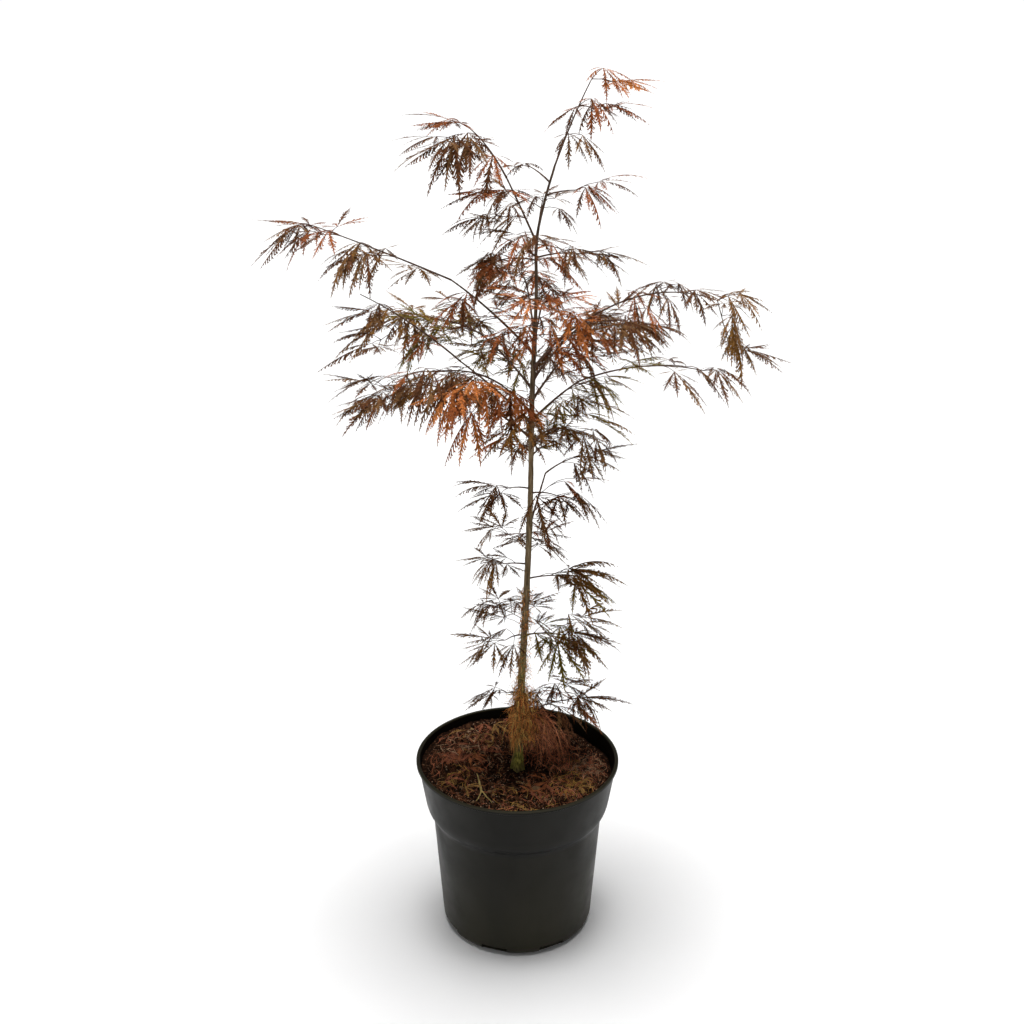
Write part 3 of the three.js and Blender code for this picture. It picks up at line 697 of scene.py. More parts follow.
def maple_bark():
    shader = Shader("maple_bark", roughness=0.8, specular=0.12)
    streaks = shader.noise(520, detail=6, stretch=(1, 1, 0.12), distortion=0.3)
    bark = shader.ramp(
        streaks, (0.3, (0.055, 0.038, 0.018)), (0.52, (0.150, 0.105, 0.055)), (0.74, (0.29, 0.22, 0.13))
    )
    patches = shader.noise(70, detail=5)
    mossy = shader.times(shader.height(300, 186), shader.ramp(patches, (0.34, 0.2), (0.56, 0.95)))
    moss = shader.ramp(
        shader.noise(650, detail=5, stretch=(1, 1, 0.35)),
        (0.32, (0.044, 0.042, 0.007)),
        (0.50, (0.220, 0.205, 0.034)),
        (0.70, (0.580, 0.510, 0.130)),
    )
    young = shader.ramp(streaks, (0.3, (0.045, 0.028, 0.018)), (0.7, (0.135, 0.090, 0.060)))
    shader.colour(shader.mix(mossy, shader.mix(shader.height(420, 640), bark, young), moss))
    shader.bump(streaks, distance=0.5)
    return shader.material


def young_bark():
    shader = Shader("young_bark", roughness=0.6, specular=0.15)
    streaks = shader.noise(600, detail=4, stretch=(1, 1, 0.6))
    shader.colour(shader.ramp(streaks, (0.3, (0.045, 0.023, 0.015)), (0.72, (0.140, 0.078, 0.050))))
    shader.bump(streaks, distance=0.2)
    return shader.material


def leaf_tissue(tint):
    colour = TINTS[tint]["colour"]
    shader = Shader(f"leaf_{tint}", roughness=0.65, specular=0.04)
    mottle = shader.noise(420, detail=4)
    shader.colour(
        shader.ramp(mottle, (0.34, scaled(colour, 0.5)), (0.5, colour), (0.68, scaled(colour, 1.7)))
    )
    shader.bump(shader.noise(1400, detail=2), distance=0.1, strength=0.6)
    return shader.material


def dry_litter(name, colour):
    shader = Shader(name, roughness=0.9, specular=0.08)
    mottle = shader.noise(240, detail=4)
    shader.colour(shader.ramp(mottle, (0.3, scaled(colour, 0.55)), (0.7, scaled(colour, 1.35))))
    shader.bump(shader.noise(1200, detail=3), distance=0.15)
    return shader.material


def make_dry_pieces(name, colours, pieces, slot=None, **options):
    """One piece for each colour of a heap of dry threads or leaves."""
    for colour, parts in pieces.items():
        piece = f"{name}_{colour}"
        own_slot = "rust" if colour == "umber" else colour
        make_piece(piece, parts, dry_litter(piece, colours[colour]), slot or own_slot, **options)


def floor_paint():
    shader = Shader("floor_paint", roughness=0.85, specular=0.1)
    shader.colour(shader.ramp(shader.noise(3, detail=2), (0.3, 0.93), (0.7, 0.95)))
    return shader.material


# ---- Pot ----

BAND_TOP_RADIUS = POT["rim_radius"] - POT["lip_width"]
LIP_FOOT = POT["height"] - POT["lip_height"]
BAND_FOOT = POT["height"] - POT["band_height"]
WALL_TOP = BAND_FOOT - POT["shoulder_height"]


def wall_outline(inset):
    """Radius and height up the wall, from the edge of the base to the lip, moved inwards."""
    level = POT["base_rounding"]
    centre = POT["base_radius"] - level
    rounding = level - inset
    outline = []
    for i in range(POT["base_steps"] + 1):
        turn = math.pi / 2 * i / POT["base_steps"]
        outline.append((centre + rounding * math.sin(turn), level - rounding * math.cos(turn)))
    outline.append((POT["wall_top_radius"] - inset, WALL_TOP))
    outline.append((POT["band_foot_radius"] - inset, BAND_FOOT))
    outline.append((BAND_TOP_RADIUS - inset, LIP_FOOT))
    return outline


def eased(outline, corners, steps=6):
    """The outline with an arc in place of some corners, from so far before each to so far after it."""
    result = []
    for i, place in enumerate(outline):
        if i not in corners:
            result.append(place)
            continue
        here = np.array(place, float)
        back, ahead = corners[i]
        before = here + unit(np.array(outline[i - 1]) - here) * back
        after = here + unit(np.array(outline[i + 1]) - here) * ahead
        for t in np.linspace(0, 1, steps + 1):
            result.append(tuple((1 - t) ** 2 * before + 2 * t * (1 - t) * here + t**2 * after))
    return result


def add_lathe(parts, outline, facets):
    """A closed body turned about Z. The outline starts and ends on the axis."""
    rings = np.array(outline[1:-1], float)
    turns = np.arange(facets) * (2 * math.pi / facets)
    circle = np.stack([np.cos(turns), np.sin(turns)], 1)
    heights = np.repeat(rings[:, None, 1:], facets, 1)
    corners = np.concatenate([rings[:, None, :1] * circle[None], heights], -1)
    ends = [[0, 0, outline[0][1]], [0, 0, outline[-1][1]]]
    index, beside = number_corners(len(rings), facets)
    foot = fan(index.size, beside[0], index[0])
    top = fan(index.size + 1, index[-1], beside[-1])
    parts.add(np.vstack([corners.reshape(-1, 3), ends]), np.vstack([skin(index, beside), foot, top]))


def cut_drain_holes(piece):
    """Slots through the edge of the base, cut by a Boolean that is then applied."""
    cutter_mesh = bpy.data.meshes.new("drain_cutters")
    shape = bmesh.new()
    for i in range(POT["drain_holes"]):
        turn = POT["drain_turn"] + 360 * i / POT["drain_holes"]
        made = bmesh.ops.create_cube(shape, size=1)["verts"]
        size = (POT["drain_depth"], POT["drain_width"], 2 * POT["drain_height"])
        bmesh.ops.scale(shape, vec=Vector(size) * METRES, verts=made)
        bmesh.ops.translate(shape, vec=Vector((POT["base_radius"], 0, 0)) * METRES, verts=made)
        spin = Matrix.Rotation(math.radians(turn), 3, "Z")
        bmesh.ops.rotate(shape, cent=(0, 0, 0), matrix=spin, verts=made)
    shape.to_mesh(cutter_mesh)
    shape.free()
    cutter = bpy.data.objects.new("drain_cutters", cutter_mesh)
    bpy.context.scene.collection.objects.link(cutter)
    modifier = piece.modifiers.new("drain", "BOOLEAN")
    modifier.operation = "DIFFERENCE"
    modifier.solver = "EXACT"
    modifier.object = cutter
    depsgraph = bpy.context.evaluated_depsgraph_get()
    cut = bpy.data.meshes.new_from_object(piece.evaluated_get(depsgraph))
    piece.modifiers.clear()
    piece.data = cut
    bpy.data.objects.remove(cutter)


def make_pot():
    wall_top = POT["base_steps"] + 1
    bends = {wall_top: POT["shoulder_bend"], wall_top + 1: POT["band_bend"]}
    outside = eased(wall_outline(0), bends)
    inside = eased(wall_outline(POT["wall"]), bends)[::-1]
    rim, top, step = POT["rim_radius"], POT["height"], POT["lip_edge"]
    lip = [
        (rim - 0.5, LIP_FOOT + 0.15),
        (rim, LIP_FOOT + step),
        (rim, top - step),
        (rim - 0.25, top - 0.2),
        (rim - step, top),
        (BAND_TOP_RADIUS - POT["wall"] + 0.5, top),
        (BAND_TOP_RADIUS - POT["wall"], top - 0.5),
    ]
    outline = [(0, 0), *outside, *lip, *inside, (0, POT["wall"])]
    parts = Parts()
    add_lathe(parts, outline, POT["facets"])
    piece = make_piece("pot_shell", parts, pot_plastic(), "pot", replaces=["pot"])
    cut_drain_holes(piece)
    piece.data.set_sharp_from_angle(angle=math.radians(40))


# ---- Soil and what has fallen on it ----


def wall_radius_at(height, inset):
    rise = (height - BAND_FOOT) / (LIP_FOOT - BAND_FOOT)
    return blend_values(POT["band_foot_radius"], BAND_TOP_RADIUS, rise) - inset


BAND_SLOPE = (BAND_TOP_RADIUS - POT["band_foot_radius"]) / (LIP_FOOT - BAND_FOOT)
SOIL_RADIUS = wall_radius_at(SOIL["level"] - SOIL["edge_drop"], POT["wall"] + SOIL["gap"])


def soil_height(x, y):
    """The soil's surface: the solids' gentle hills, with hollows between them."""
    out = np.hypot(x, y)
    waves = np.sin(x / 11 + 1) * np.cos(y / 14) + 0.7 * np.sin((x + 2 * y) / 17)
    hills = SOIL["roughness"] * waves * smooth_step(out, SOIL["flat_radius"], 3 * SOIL["flat_radius"])
    return SOIL["level"] - SOIL["edge_drop"] * (out / SOIL_RADIUS) ** 2 + hills


def mound_height(x, y):
    """Litter has gathered along the back and the left of the pot."""
    out = math.hypot(x, y) / SOIL_RADIUS
    facing = 0.5 + 0.5 * math.cos(math.atan2(y, x) - math.radians(MOUND["heading"]))
    return MOUND["height"] * facing ** MOUND["spread"] * smooth_step(out, MOUND["inner"], MOUND["outer"])


def soil_surface(x, y):
    crumbs = noise.fractal(Vector((x, y, 3.0)) * 0.16, 0.8, 2.1, 4)
    return float(soil_height(x, y)) + mound_height(x, y) + 1.3 * crumbs


def make_soil():
    rings, facets = SOIL["rings"], SOIL["facets"]
    vertices = [[0, 0, soil_surface(0, 0)]]
    for ring in range(1, rings + 1):
        radius = SOIL_RADIUS * ring / rings
        for i in range(facets):
            turn = 2 * math.pi * (i + 0.5 * (ring % 2)) / facets
            x, y = radius * math.cos(turn), radius * math.sin(turn)
            wider = 1 + BAND_SLOPE * mound_height(x, y) / SOIL_RADIUS
            vertices.append([x * wider, y * wider, soil_surface(x, y)])
    foot = SOIL["foot"]
    inwards = wall_radius_at(foot, POT["wall"] + SOIL["gap"]) / SOIL_RADIUS
    vertices += [[x * inwards, y * inwards, foot] for x, y, _ in vertices[-facets:]]
    index, beside = number_corners(rings + 1, facets, first=1)
    middle = fan(0, index[0], beside[0])
    floor = fan(index[-1, 0], index[-1, 2:], index[-1, 1:-1])
    parts = Parts()
    parts.add(vertices, np.vstack([middle, skin(index, beside)[:, ::-1], floor]))
    make_piece("soil_bed", parts, soil_crumb(), "soil", replaces=["soil"])


def place_on_soil(draw, margin=4, nearest=9):
    """An even random place on the soil, clear of the trunk and the wall."""
    share = math.sqrt(draw(0, 1))
    radius = blend_values(nearest, SOIL_RADIUS - margin, share)
    turn = draw(0, 2 * math.pi)
    return radius * math.cos(turn), radius * math.sin(turn)


def lie_on_soil(x, y, above):
    return np.array([x, y, soil_surface(x, y) + above])


CRUMB_CORNERS = np.array([[1, 0, 0], [0, 1, 0], [-1, 0, 0], [0, -1, 0], [0, 0, 1], [0, 0, -1]], float)
CRUMB_FACES = np.array(
    [[0, 1, 4], [1, 2, 4], [2, 3, 4], [3, 0, 4], [1, 0, 5], [2, 1, 5], [3, 2, 5], [0, 3, 5]]
)


def make_crumbs(name, spec):
    """Small irregular lumps, half sunk in the soil."""
    draw = Draws(spec["seed"])
    parts = Parts()
    for _ in range(spec["count"]):
        place = place_on_soil(draw)
        size = draw(*spec["size"])
        corners = CRUMB_CORNERS * [draw(0.6, 1.3) * size, draw(0.6, 1.3) * size, draw(0.35, 0.8) * size]
        corners += np.array([[draw(-0.2, 0.2) * size for _ in range(3)] for _ in range(6)])
        spin = np.array(Matrix.Rotation(draw(0, 2 * math.pi), 3, "Z"))
        parts.add(corners @ spin.T + lie_on_soil(*place, draw(0, 0.45) * size), CRUMB_FACES)
    material = dry_litter(name, spec["colour"]) if "colour" in spec else soil_crumb()
    make_piece(name, parts, material, "soil", smooth=False)


def add_strand(parts, points, width, lean):
    """A narrow pointed strip along the points, a dry thread of leaf."""
    points = np.asarray(points, float)
    ahead = np.gradient(points, axis=0)
    ahead /= np.linalg.norm(ahead, axis=1)[:, None] + 1e-9
    across = np.cross(ahead, direction(lean, 60))
    across /= np.linalg.norm(across, axis=1)[:, None] + 1e-9
    shares = np.linspace(0, 1, len(points))
    half = width / 2 * np.minimum(1, 0.45 + 3 * shares) * np.sqrt(np.maximum(1 - shares, 0.004))
    left = points + across * half[:, None]
    right = points - across * half[:, None]
    index = np.arange(2 * len(points)).reshape(2, -1)
    parts.add(np.vstack([left, right]), skin(index[:, :-1], index[:, 1:]))


def add_curl(parts, draw, place, surface, length, width, rise):
    """A thread that lies curled on a surface. It is left out where it would cross the wall."""
    x, y = place
    turn = draw(0, 2 * math.pi)
    curl = draw(-1.9, 1.9)
    arch = draw(0.1, 1) * rise
    points = []
    for i in range(7):
        lift = arch * math.sin(math.pi * (i + 0.3) / 6.6)
        points.append([x, y, surface(x, y) + 0.4 + lift])
        x += length / 6 * math.cos(turn)
        y += length / 6 * math.sin(turn)
        turn += curl / 6
    if max(math.hypot(*point[:2]) for point in points) < SOIL_RADIUS - 2:
        add_strand(parts, points, width, draw(0, 360))


def make_litter(name, spec):
    """Dry threads of leaf that lie evenly spread on the soil."""
    draw = Draws(spec["seed"])
    parts = Parts()
    for _ in range(spec["count"]):
        place = place_on_soil(draw, margin=5, nearest=12)
        add_curl(parts, draw, place, soil_surface, draw(4, 17), draw(*spec["width"]), 2)
    make_piece(name, parts, dry_litter(name, spec["colour"]), spec["slot"])


def heaped_surface(clump, level):
    """The surface of a heap, at a share of its height."""
    (cx, cy), radius = clump["place"], clump["radius"]

    def surface(x, y):
        near = 1 - ((x - cx) ** 2 + (y - cy) ** 2) / radius**2
        return soil_surface(x, y) + level * clump["height"] * max(0.0, near)

    return surface


def make_clumps():
    """Matted threads: the heaps and patches on the soil and the large clump beside the trunk."""
    draw = Draws(MAT["seed"])
    pieces = {name: Parts() for name in MAT_COLOURS}
    for clump in CLUMPS.values():
        for _ in range(clump["threads"]):
            surface = heaped_surface(clump, draw(0.1, 1.05))
            out = clump["radius"] * draw(0, 1) ** MAT["crowding"]
            turn = draw(0, 2 * math.pi)
            place = (clump["place"][0] + out * math.cos(turn), clump["place"][1] + out * math.sin(turn))
            parts = pieces[draw.pick(clump["deal"])]
            add_curl(parts, draw, place, surface, draw(*MAT["length"]), draw(*MAT["width"]), MAT["rise"])
    make_dry_pieces("matted", MAT_COLOURS, pieces, slot="russet")


# ---- Trunk and boughs ----

TRUNK_LINE = catmull_rom(TRUNK["axis"], 60)


def trunk_at(height):
    x, y = (np.interp(height, TRUNK_LINE[:, 2], TRUNK_LINE[:, axis]) for axis in (0, 1))
    return np.array([x, y, height])


def trunk_radius(height):
    top = TRUNK_LINE[-1][2]
    left = np.clip((top - height) / (top - SOIL["level"]), 0, 1)
    flare = TRUNK["flare"] * np.exp((SOIL["level"] - height) / TRUNK["flare_height"])
    return blend_values(TRUNK["tip_radius"], TRUNK["foot_radius"], left) + flare


class Bough:
    def __init__(self, height, radius, **bow):
        self.radius = radius
        self.height = height
        self.axis = Bow(trunk_at(height), **bow)
        self.line = self.axis.points(SPACE["samples"])


BOUGH_LIMBS = {name: Bough(**spec) for name, spec in BOUGHS.items()}


def bark_relief(scale, depth, stretch):
    """Long shallow ridges: noise that changes slowly along the limb and quickly round it."""

    def relief(rings, turns):
        result = np.zeros(rings.shape[:2])
        for i, ring in enumerate(rings):
            for k, corner in enumerate(ring):
                place = Vector((corner[0] * scale, corner[1] * scale, corner[2] * scale * stretch))
                result[i, k] = depth * noise.fractal(place, 0.9, 2.0, 3)
        return result

    return relief


def trunk_swelling(height):
    """The trunk is a little thicker where a bough leaves it, and ringed where a pair of buds was."""
    swelling = 0.0
    for bough in BOUGH_LIMBS.values():
        swelling += 0.16 * math.exp(-(((height - bough.height) / 6) ** 2))
    ring = 0.05 * max(0, math.cos(2 * math.pi * height / 34)) ** 24
    return min(swelling, 0.3) + ring


def make_trunk():
    low, high = SOIL["level"] - TRUNK["sunk"], TRUNK_LINE[-1][2]
    heights = np.append(np.arange(low, high, TRUNK["ring_step"]), high)
    points = np.array([trunk_at(h) for h in heights])
    radii = np.array([trunk_radius(h) * (1 + trunk_swelling(h)) for h in heights])
    ridges = bark_relief(scale=0.55, depth=0.085, stretch=0.16)

    def relief(rings, turns):
        foot = np.exp((SOIL["level"] - heights) / 16)[:, None]
        lobes = 0.10 * np.cos(4 * turns + 0.7)[None] + 0.05 * np.cos(7 * turns)[None]
        return ridges(rings, turns) + foot * lobes

    parts = Parts()
    add_tube(parts, points, radii, TRUNK["sides"], relief)
    make_piece("trunk_bark", parts, maple_bark(), "bark", replaces=["trunk"])


def make_boughs():
    parts = Parts()
    for bough in BOUGH_LIMBS.values():
        points = bough.axis.points(BOUGH["steps"])
        shares = np.linspace(0, 1, BOUGH["steps"] + 1)
        radii = blend_values(bough.radius, BOUGH["tip_radius"], shares)
        along = shares * bough.axis.length
        start = trunk_radius(bough.height)
        radii *= 1 + BOUGH["collar"] * np.exp(-np.maximum(along - start, 0) / BOUGH["collar_length"])
        radii *= 1 + 0.12 * np.maximum(0, np.cos(2 * math.pi * along / 19)) ** 20
        add_tube(parts, points, radii, BOUGH["sides"], bark_relief(0.7, 0.07, 0.7))
    make_piece("bough_bark", parts, young_bark(), "twig", replaces=list(BOUGHS))


# ---- Foliage: the rule ----


def stem_of(mass):
    """Where a mass's stem starts and how it runs, as in the solids."""
    if "on" not in mass:
        start = trunk_at(mass["height"])
        return Bow(start, mass["heading"], mass["climb"], mass["length"], mass["sag"])
    if mass["on"] == "trunk":
        start, slope = TRUNK_LINE[-1], unit(TRUNK_LINE[-1] - TRUNK_LINE[-2])
    else:
        axis = BOUGH_LIMBS[mass["on"]].axis
        start, slope = axis.at(1), axis.slope(1)
    heading = heading_of(slope) + mass.get("turn", 0)
    climb = climb_of(slope) + mass.get("lift", 0)
    return Bow(start, heading, climb, mass["length"], mass["sag"])


def tail_of(mass, stem):
    """The twig that hangs from the end of a mass's stem, where it has one."""
    if "tail" not in mass:
        return None
    return Bow(stem.at(1), heading_of(stem.slope(1)), **mass["tail"])


STEMS = {name: stem_of(mass) for name, mass in MASSES.items()}
TAILS = {name: tail_of(mass, STEMS[name]) for name, mass in MASSES.items()}
STEM_NAMES = list(STEMS)


def spine_of(name):
    """The line that a mass's space lies round: its stem, and the leafy part of its bough."""
    stem = STEMS[name]
    places = [stem.at(share) for share in np.linspace(0, 1, SPACE["spine_points"])]
    bough = BOUGH_LIMBS.get(MASSES[name].get("on"))
    if bough:
        half = SPACE["spine_points"] // 2
        places = [bough.axis.at(share) for share in np.linspace(BOUGH["leafy_from"], 1, half)]
        places += [stem.at(share) for share in np.linspace(0, 1, half + 1)[1:]]
    spine = np.array(places)[: SPACE["spine_points"]] - UP * SPACE["hang"]
    if TAILS[name]:
        spine[-3:] = [TAILS[name].at(share) for share in GROWTH["tail_spine"]]
    return spine


SPINES = np.array([spine_of(name) for name in STEM_NAMES])
BOUGH_LINES = np.array([bough.line for bough in BOUGH_LIMBS.values()])
BOUGH_RADII = np.array([bough.radius for bough in BOUGH_LIMBS.values()])
COARSE_TRUNK = TRUNK_LINE[::12][None]


def are_free(points, own):
    """For each point, whether it lies in a mass's own space and clear of the limbs."""
    points = np.asarray(points)
    to_spines = distance_to_lines(points, SPINES)
    inside = to_spines[:, own] + SPACE["margin"]
    to_spines[:, own] = np.inf
    to_trunk = distance_to_lines(points, COARSE_TRUNK)[:, 0] - trunk_radius(points[:, 2])
    to_boughs = (distance_to_lines(points, BOUGH_LINES) - BOUGH_RADII).min(1)
    gap = SPACE["limb_gap"]
    return (to_spines.min(1) > inside) & (to_trunk > gap) & (to_boughs > gap)


def lobe_points(palm, lobe, shares):
    """Places on a lobe's mid-line, which bends evenly from one pitch to another."""
    start, end = math.radians(lobe["start_pitch"]), math.radians(lobe["end_pitch"])
    now = start + (end - start) * np.asarray(shares)
    out = lobe["length"] * (np.sin(now) - math.sin(start)) / (end - start)
    up = lobe["length"] * (math.cos(start) - np.cos(now)) / (end - start)
    return palm + np.outer(out, direction(lobe["heading"], 0)) + np.outer(up, UP)


def try_leaf(node, heading, climb, mass, own, draw):
    """One try at a leaf: its stalk, and the lobes that fit in the mass's space."""
    size = mass["leaf"] * draw(*GROWTH["size_spread"])
    palm = node + direction(heading, climb) * draw(*GROWTH["stalk_length"])
    tilt = draw(*LEAF["tilt"]) - mass.get("droop", 0)
    bend = draw(*LEAF["bend"])
    middle = (len(LEAF["lobe_shares"]) - 1) / 2
    lobes = []
    for i, share in enumerate(LEAF["lobe_shares"]):
        turn = (i - middle) * LEAF["fan"]
        start = -tilt * math.cos(math.radians(turn)) + draw(-1, 1) * LEAF["pitch_jitter"]
        end = start - bend + draw(-1, 1) * LEAF["pitch_jitter"]
        lobes.append(
            dict(
                heading=heading + turn + draw(-1, 1) * LEAF["heading_jitter"],
                start_pitch=start,
                end_pitch=max(end, LEAF["steepest"]),
                length=size * share * draw(*LEAF["length_spread"]),
            )
        )
    shares = LEAF["sample_shares"]
    lengths = [[lobe["length"] * trim for trim in LEAF["lobe_trims"]] for lobe in lobes]
    places = [
        lobe_points(palm, {**lobe, "length": length}, shares)
        for lobe, options in zip(lobes, lengths)
        for length in options
    ]
    stalk = np.array([node * 0.4 + palm * 0.6, palm])
    free = are_free(np.vstack([*places, stalk]), own)
    if not free[-2:].all():
        return None
    free = free[:-2].reshape(len(lobes), len(LEAF["lobe_trims"]), len(shares)).all(-1)
    kept = []
    for lobe, options, fits in zip(lobes, lengths, free):
        if fits.any():
            lobe["length"] = options[int(np.argmax(fits))]
            kept.append(lobe)
    if len(kept) < LEAF["fewest_lobes"]:
        return None
    return dict(node=node, palm=palm, heading=heading, lobes=kept)


class Mass:
    """One mass of foliage, grown by the rule."""

    def __init__(self, name, seed):
        self.name = name
        self.own = STEM_NAMES.index(name)
        self.spec = MASSES[name]
        self.stem = STEMS[name]
        self.draw = Draws(seed)
        self.twigs = []
        self.leaves = []
        self.palms = []
        self.grow()

    def add_leaf(self, node, heading, climb, tint):
        draw = self.draw
        turned = heading
        for _ in range(self.spec.get("tries", GROWTH["tries"])):
            leaf = try_leaf(node, turned, climb, self.spec, self.own, draw)
            turned = heading + draw(*GROWTH["swing"])
            if leaf is None:
                continue
            if any(np.linalg.norm(leaf["palm"] - p) < GROWTH["palm_gap"] for p in self.palms):
                continue
            leaf["tint"] = tint
            leaf["kind"] = int(draw(0, TEMPLATES))
            self.palms.append(leaf["palm"])
            self.leaves.append(leaf)
            return

    def add_pair(self, node, heading, spread, tint):
        """Two leaves on opposite sides of a stem."""
        draw = self.draw
        for side in (-1, 1):
            climb = draw(*GROWTH["stalk_climb"])
            self.add_leaf(node, heading + side * draw(*spread), climb, tint)

    def add_end(self, node, heading, tint):
        """The pair and the single leaf that a stem or a twig ends in."""
        self.add_pair(node, heading, GROWTH["end_spread"], tint)
        self.add_leaf(node, heading, self.draw(*GROWTH["stalk_climb"]), tint)

    def add_twig(self, node, heading, climb, tint):
        draw = self.draw
        length = draw(*GROWTH["twig_length"])
        twig = Bow(node, heading, climb, length, length / 7)
        if not are_free([twig.at(0.5), twig.at(1)], self.own).all():
            return False
        self.twigs.append(twig)
        middle = heading_of(twig.slope(0.5))
        side = draw.pick((-1, 1))
        turned = middle + side * draw(*GROWTH["stalk_spread"])
        self.add_leaf(twig.at(0.55), turned, draw(*GROWTH["stalk_climb"]), tint)
        self.add_end(twig.at(1), middle, tint)
        return True

    def add_node(self, node, heading, forks, side, finish):
        """A pair of leaves, or a leaf and a twig."""
        draw = self.draw
        tint = draw.pick(DEALS[finish])
        if forks:
            spread = side * draw(*GROWTH["twig_spread"])
            if self.add_twig(node, heading + spread, draw(*GROWTH["stalk_climb"]), tint):
                self.add_leaf(node, heading - spread, draw(*GROWTH["stalk_climb"]), tint)
                return
        self.add_pair(node, heading, GROWTH["stalk_spread"], tint)

    def grow_on_bough(self):
        bough = BOUGH_LIMBS.get(self.spec.get("on"))
        if not bough:
            return
        leafy = bough.axis.length * (1 - BOUGH["leafy_from"])
        count = max(2, round(leafy / self.spec.get("bough_spacing", self.spacing)))
        for i in range(count):
            share = blend_values(BOUGH["leafy_from"], 1, i / count)
            heading = heading_of(bough.axis.slope(share))
            side = 1 if i % 4 == 1 else -1
            self.add_node(bough.axis.at(share), heading, i % 2 == 1, side, self.spec["finish"])

    def grow(self):
        self.spacing = self.spec.get("spacing", GROWTH["pair_spacing"])
        self.grow_on_bough()
        pairs = max(1, round(self.spec["length"] / self.spacing))
        for pair in range(1, pairs + 1):
            share = pair / pairs
            finish = self.spec["finish"]
            if share > GROWTH["tip_from"]:
                finish = self.spec.get("tip_finish", finish)
            node = self.stem.at(share)
            heading = heading_of(self.stem.slope(share))
            if pair == pairs:
                self.add_end(node, heading, self.draw.pick(DEALS[finish]))
            else:
                self.add_node(node, heading, pair % 2 == 0, 1 if pair % 4 else -1, finish)
        self.grow_on_tail()

    def grow_on_tail(self):
        tail = TAILS[self.name]
        if not tail:
            return
        finish = self.spec["tail_finish"]
        self.twigs.append(tail)
        tint = self.draw.pick(DEALS[finish])
        for share in GROWTH["tail_nodes"]:
            heading = heading_of(tail.slope(share))
            self.add_pair(tail.at(share), heading, GROWTH["stalk_spread"], tint)
        self.add_end(tail.at(1), heading_of(tail.slope(1)), self.draw.pick(DEALS[finish]))


# ---- Foliage: the meshes ----


def lobe_envelope(share, shape):
    """How wide a lobe is at a share of its length, from 0 to 1 where it is widest."""
    widest, base = shape["widest"], shape["base_share"]
    if share < widest:
        return base + (1 - base) * smooth_step(share, 0, widest)
    return ((1 - share) / (1 - widest)) ** shape["tip_thinning"]


def lobe_template(draw, shape):
    """A feathered lobe from 0 to 1 along, with columns along, across and lift, and its triangles."""
    corners = []
    triangles = []

    def corner(along, across, lift=0.0):
        corners.append((along, across, lift))
        return len(corners) - 1

    stations = np.linspace(shape["first"], shape["last"], shape["stations"])
    pitch = stations[1] - stations[0]
    blades = [shape["blade"] * (0.3 + 0.7 * lobe_envelope(s, shape)) for s in stations]
    foot = shape["blade"] * 0.4
    edges = [(corner(0, foot), corner(0, -foot))]
    edges += [(corner(s, b), corner(s, -b)) for s, b in zip(stations, blades)]
    tip = corner(1, 0)
    for (a, b), (d, c) in zip(edges, edges[1:]):
        triangles += [(a, b, c), (a, c, d)]
    triangles.append((edges[-1][0], edges[-1][1], tip))
    fold = draw(*shape["fold"])
    for station, blade in zip(stations, blades):
        for side in (1, -1):
            reach = shape["reach"] * lobe_envelope(station, shape) * draw(0.7, 1.2)
            angle = math.radians(draw(*shape["lobule_angle"]))
            length = reach / math.tan(angle)
            base = shape["lobule_base"] * (0.45 + 0.55 * lobe_envelope(station, shape))
            start = station + draw(-0.3, 0.3) * pitch
            bow = draw(0.1, 0.3)
            inner_edge = blade * 0.5

            def place(share, offset):
                """A spot a share of the way out along the lobule, offset to its outer side."""
                along = start + length * share - offset * math.sin(angle)
                out = inner_edge + (reach - inner_edge) * share ** (1 + bow) + offset * math.cos(angle)
                return corner(min(along, 1.04), side * out, fold * out)

            rear = place(0, base * 0.5)
            front = place(0.06, -base)
            middle = place(0.5, base * 0.5)
            inner = place(0.55, -base * 0.45)
            point = place(1, 0)
            faces = [(rear, middle, front), (front, middle, inner), (inner, middle, point)]
            if shape["tooth"]:
                spike = place(0.72, base * 0.5 + reach * shape["tooth"])
                faces.append((middle, spike, place(0.72, base * 0.1)))
            triangles += faces if side > 0 else [face[::-1] for face in faces]
    return np.array(corners), np.array(triangles)


def lobe_templates(seed, shape):
    draw = Draws(seed)
    return [lobe_template(draw, shape) for _ in range(TEMPLATES)]


def add_lobe(parts, palm, lobe, template):
    """Bends a template along the lobe's arc."""
    corners, triangles = template
    along, across, lift = corners.T
    start, end = math.radians(lobe["start_pitch"]), math.radians(lobe["end_pitch"])
    now = start + (end - start) * along
    centre = lobe_points(palm, lobe, along)
    flat = direction(lobe["heading"], 0)
    side = direction(lobe["heading"] + 90, 0)
    normal = -np.outer(np.sin(now), flat) + np.outer(np.cos(now), UP)
    width = lobe["length"]
    vertices = centre + np.outer(across * width, side) + normal * (lift * width)[:, None]
    parts.add(vertices, triangles)


def add_stalk(parts, start, end, radius, sides=3):
    """A thin stalk that rises a little before it reaches its palm."""
    middle = (start + end) / 2 + UP * 0.06 * np.linalg.norm(end - start)
    add_tube(parts, [start, middle, end], [radius * 1.25, radius, radius * 0.9], sides)


def add_bow(parts, axis, radius, tip_radius, sides=5, step=6):
    steps = max(3, round(axis.length / step))
    shares = np.linspace(0, 1, steps + 1)
    add_tube(parts, axis.points(steps), blend_values(radius, tip_radius, shares), sides)


